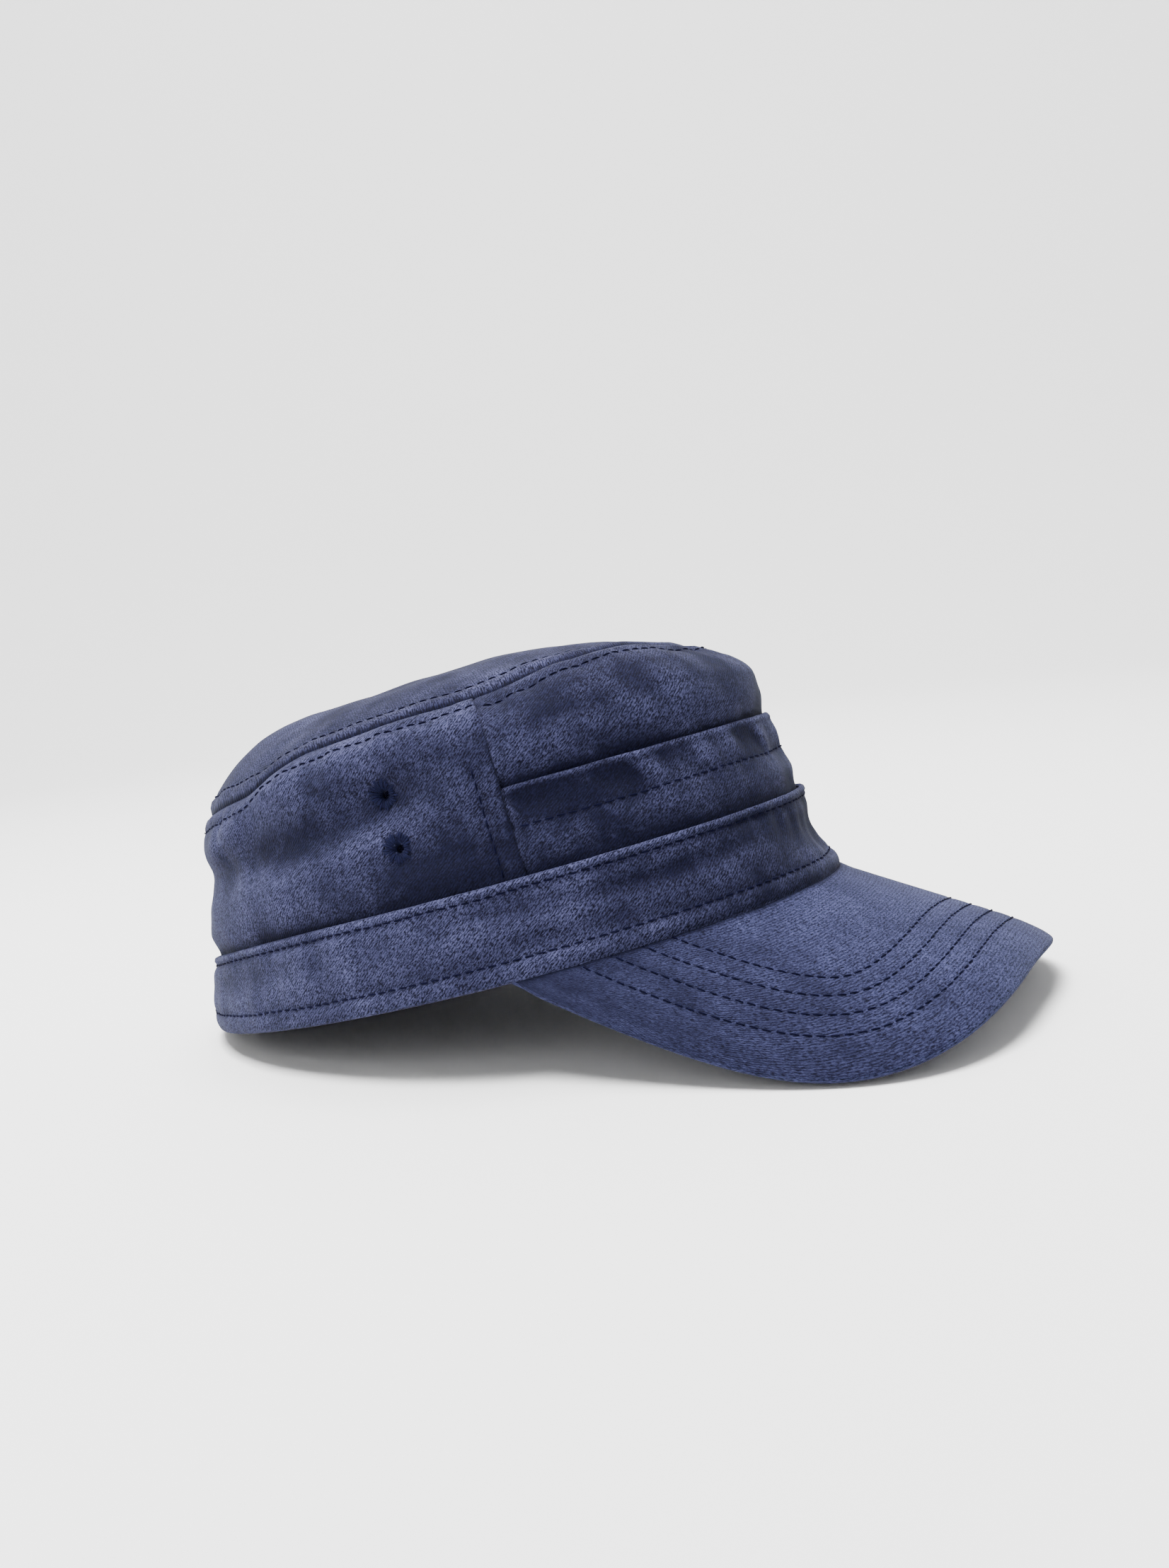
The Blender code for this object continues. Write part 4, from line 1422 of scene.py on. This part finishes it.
class CAP_OT_band(CapPiece, bpy.types.Operator):
    """Build the folded band and its two rows of stitches."""

    bl_idname = "cap.band"
    bl_label = "Band"

    def execute(self, context):
        skin, wear = band_skin()
        band = cloth_piece("band_cloth", skin, wear, BAND_WALL, crown_material(), "band")
        rows = [closed_path(skin.row_at(line)) for line in skin.lines]
        stitches = stitch_piece("band_stitches", rows, thread_material(), context.scene.cap_sizes, 1)
        return self.finish_with([band, stitches])


class CAP_OT_front(CapPiece, bpy.types.Operator):
    """Build the front's two pieces with the tuck between them, and their stitches."""

    bl_idname = "cap.front"
    bl_label = "Front"

    def execute(self, context):
        sizes = context.scene.cap_sizes
        lower, lower_wear = front_lower_skin()
        upper, upper_wear = front_upper_skin()
        made = [
            cloth_piece("front_lower_cloth", lower, lower_wear, PANEL_WALL, crown_material(),
                        "front_lower"),
            cloth_piece("front_upper_cloth", upper, upper_wear, PANEL_WALL, crown_material(),
                        "front_upper"),
        ]
        # The rows stop short of the side edges, which lie under the side panels
        shown = slice(4, -4)
        rows = [tuple(grid[shown] for grid in skin.row_at(skin.lines[0])) for skin in (lower, upper)]
        made.append(stitch_piece("front_stitches", rows, thread_material(), sizes, 5))
        return self.finish_with(made)


class CAP_OT_sides(CapPiece, bpy.types.Operator):
    """Build both side panels, their stitches and their sewn eyelets."""

    bl_idname = "cap.sides"
    bl_label = "Sides"

    def execute(self, context):
        sizes = context.scene.cap_sizes
        made = []
        for sign, side in ((-1, "right"), (1, "left")):
            skin, wear = side_skin(sign)
            names = [name for name in EYELETS if name.startswith("eyelet_" + side)]
            holes = []
            for name in names:
                nearest = nearest_point(skin, eyelet_centre(*EYELETS[name]))
                holes.append((skin.points[nearest], sizes.eyelet_hole / 2 + HOLE_CLEARANCE))
            made.append(cloth_piece(f"side_cloth_{side}", skin, wear, PANEL_WALL,
                                    crown_material(), f"side_panel_{side}", holes))
            rows = [skin.row_at(skin.lines[0])]
            # The upright row runs from the band to the middle of the wall, column by column
            upright = Skin(np.swapaxes(skin.points, 0, 1))
            upright.normal = np.swapaxes(skin.normal, 0, 1)
            low = slice(8, skin.low_rows)
            rows.append(tuple(grid[low] for grid in upright.row_at(skin.upright.T)))
            made.append(stitch_piece(f"side_stitches_{side}", rows, thread_material(), sizes,
                                     20 + sign))
            for name in names:
                made.append(eyelet_threads(name, *EYELETS[name], skin, sizes, eyelet_material()))
        return self.finish_with(made)


class CAP_OT_top(CapPiece, bpy.types.Operator):
    """Build the domed top and the row of stitches inside its seam."""

    bl_idname = "cap.top"
    bl_label = "Top"

    def execute(self, context):
        skin, wear = top_skin()
        top = top_cloth("top_cloth", skin, wear, PANEL_WALL, crown_material())
        rows = [closed_path(skin.row_at(skin.lines[0]))]
        stitches = stitch_piece("top_stitches", rows, thread_material(), context.scene.cap_sizes, 30)
        return self.finish_with([top, stitches])


def top_cloth(name, skin, wear, thickness, material):
    """The top as a closed wall: the inner dome, a rounded edge, the outer dome, two poles.

    Its cloth coordinates are its plan in mm, since it is cut from one flat piece.
    """
    outer, normal = skin.points, skin.normal
    inner = outer - thickness * normal
    edge = rounded_edge(outer[0], outer[1], normal[0], thickness)
    rows = np.concatenate((inner[::-1], edge[::-1], outer))
    height, columns = rows.shape[:2]
    index = wrapped(np.arange(height * columns).reshape(height, columns), 1)
    faces = cell_corners(index).reshape(-1, 4).tolist()
    poles = np.stack((inner[-1].mean(axis=0), outer[-1].mean(axis=0)))
    first = height * columns
    faces += [(int(b), int(a), first) for a, b in zip(index[0, :-1], index[0, 1:])]
    faces += [(int(a), int(b), first + 1) for a, b in zip(index[-1, :-1], index[-1, 1:])]
    vertices = np.concatenate((rows.reshape(-1, 3), poles))
    piece = dress(name, vertices, faces, material, "top_panel")
    plan = vertices[corner_vertices(piece.data), :2]
    add_cloth_data(piece.data, plan, wear, (height - outer.shape[0]) * columns)
    return piece


class CAP_OT_brim(CapPiece, bpy.types.Operator):
    """Build the curved brim and its four rows of stitches."""

    bl_idname = "cap.brim"
    bl_label = "Brim"

    def execute(self, context):
        scene = context.scene
        skin, wear = brim_skin()
        material = twill_finish("washed_brim", scene.cap_colours.brim_dark,
                                scene.cap_colours.brim_deep, scene.cap_colours.brim_pale,
                                scene.cap_sizes, math.radians(88), 0.7)
        brim = cloth_piece("brim_cloth", skin, wear, BRIM_WALL, material, "brim")
        rows = []
        for line in skin.lines:
            inside = (line[0] < 0) & (line[-1] > 0)
            rows.append(tuple(grid[inside] for grid in skin.row_at(line)))
        stitches = stitch_piece("brim_stitches", rows, thread_material(), scene.cap_sizes, 40)
        return self.finish_with([brim, stitches])


# The camera's place and aim in the rested cap's frame, its view at the image's size, and the
# strength of the soft light from all round
CAMERA_PLACE = (-0.4134, -0.2149, 0.1161)
CAMERA_AZIMUTH = 62.56
CAMERA_DIP = 5.89
CAMERA_ROLL = 6.59
FOCAL_PIXELS = 2200
IMAGE_HEIGHT = 2216
SENSOR = 36.0
WORLD_STRENGTH = 0.28


class CAP_OT_stage(CapPiece, bpy.types.Operator):
    """Set the pale floor and backdrop, the soft lights and the camera."""

    bl_idname = "cap.stage"
    bl_label = "Stage"

    def execute(self, context):
        settings = context.scene.cap_stage
        backdrop(settings)
        lights = (
            ("key_light", (-0.26, 0.14, 1.30), (0, 0, 0.05), 0.6, settings.key_power),
            ("fill_light", (-1.20, 0.25, 0.60), (0, 0, 0.05), 0.8, settings.fill_power),
            ("back_light", (0.75, 0.55, 1.30), (0, 0, 0.05), 0.8, settings.back_power),
            ("wall_light", (0.60, 0.30, 2.40), (2.3, 1.3, 0.7), 1.2, settings.wall_power),
        )
        for name, place, aim, size, power in lights:
            add_light(name, place, aim, size, power)
        add_camera(context.scene)
        world = bpy.data.worlds.new("studio")
        world.use_nodes = True
        world.node_tree.nodes["Background"].inputs["Color"].default_value = (1, 1, 1, 1)
        world.node_tree.nodes["Background"].inputs["Strength"].default_value = WORLD_STRENGTH
        context.scene.world = world
        return {"FINISHED"}


def backdrop(settings):
    """A bowl turned round the cap: flat near it, a quarter circle, and an upright wall."""
    flat, curve, top, columns = 1.4, 1.3, 3.0, 96
    arc = np.linspace(0, math.pi / 2, 25)
    radius = np.concatenate(([0.02, 0.5, 1.0], flat + curve * np.sin(arc), [flat + curve]))
    height = np.concatenate(([0.0, 0.0, 0.0], curve * (1 - np.cos(arc)), [top]))
    turn = np.linspace(0, 2 * math.pi, columns + 1)[:-1]
    ring = np.stack((radius[:, None] * np.cos(turn), radius[:, None] * np.sin(turn),
                     height[:, None] + 0 * turn), axis=-1)
    index = wrapped(np.arange(ring.shape[0] * columns).reshape(-1, columns), 1)
    faces = np.stack((index[:-1, :-1], index[1:, :-1], index[1:, 1:], index[:-1, 1:]), axis=2)
    faces = faces.reshape(-1, 4).tolist() + [index[0, :-1].tolist()]
    finish = Finish("backdrop_paper", 0.9, Specular_IOR_Level=0.1)
    place = finish.node("ShaderNodeTexCoord", output="Object")
    colour = tuple(settings.floor_colour)
    soft = tuple(0.985 * c for c in colour)
    tone = finish.mixed(finish.noise(place, 1.5), (*soft, 1.0), (*colour, 1.0))
    finish.feed("Base Color", tone)
    return new_piece("backdrop", ring.reshape(-1, 3), faces, finish.material)


def add_light(name, place, aim, size, power):
    """A square area light at a place, turned to its aim."""
    light = bpy.data.lights.new(name, "AREA")
    light.size = size
    light.energy = power
    lamp = bpy.data.objects.new(name, light)
    lamp.location = place
    lamp.rotation_euler = (Vector(aim) - Vector(place)).to_track_quat("-Z", "Y").to_euler()
    bpy.context.scene.collection.objects.link(lamp)


def add_camera(scene):
    """The camera at its place, turned to its azimuth, dip and roll."""
    camera = bpy.data.cameras.new("camera")
    camera.sensor_width = SENSOR
    camera.lens = FOCAL_PIXELS / IMAGE_HEIGHT * SENSOR
    camera.clip_start, camera.clip_end = 0.01, 20.0
    holder = bpy.data.objects.new("camera", camera)
    azimuth, dip = math.radians(CAMERA_AZIMUTH), math.radians(CAMERA_DIP)
    aim = Vector((math.sin(azimuth) * math.cos(dip), math.cos(azimuth) * math.cos(dip),
                  -math.sin(dip)))
    turn = aim.to_track_quat("-Z", "Y").to_matrix()
    roll = Euler((0, 0, -math.radians(CAMERA_ROLL))).to_matrix()
    holder.rotation_euler = (turn @ roll).to_euler()
    holder.location = CAMERA_PLACE
    scene.collection.objects.link(holder)
    scene.camera = holder


class CAP_PT_panel(bpy.types.Panel):
    """The cap's pieces, sizes and colours in the sidebar."""

    bl_idname = "CAP_PT_panel"
    bl_label = "Field Cap"
    bl_space_type = "VIEW_3D"
    bl_region_type = "UI"
    bl_category = "Cap"

    def draw(self, context):
        for operator in OPERATORS:
            self.layout.operator(operator.bl_idname)
        for group in (context.scene.cap_sizes, context.scene.cap_colours, context.scene.cap_stage):
            box = self.layout.box()
            for name in group.__annotations__:
                box.prop(group, name)


GROUPS = {"cap_sizes": CapSizes, "cap_colours": CapColours, "cap_stage": StageSettings}
OPERATORS = (CAP_OT_band, CAP_OT_front, CAP_OT_sides, CAP_OT_top, CAP_OT_brim, CAP_OT_stage)


def register():
    for cls in (*GROUPS.values(), *OPERATORS, CAP_PT_panel):
        bpy.utils.register_class(cls)
    for name, group in GROUPS.items():
        setattr(bpy.types.Scene, name, PointerProperty(type=group))


def unregister():
    for name in GROUPS:
        delattr(bpy.types.Scene, name)
    for cls in reversed((*GROUPS.values(), *OPERATORS, CAP_PT_panel)):
        bpy.utils.unregister_class(cls)


def main():
    register()
    for operator in OPERATORS:
        group, name = operator.bl_idname.split(".")
        getattr(getattr(bpy.ops, group), name)()


if __name__ == "__main__":
    main()
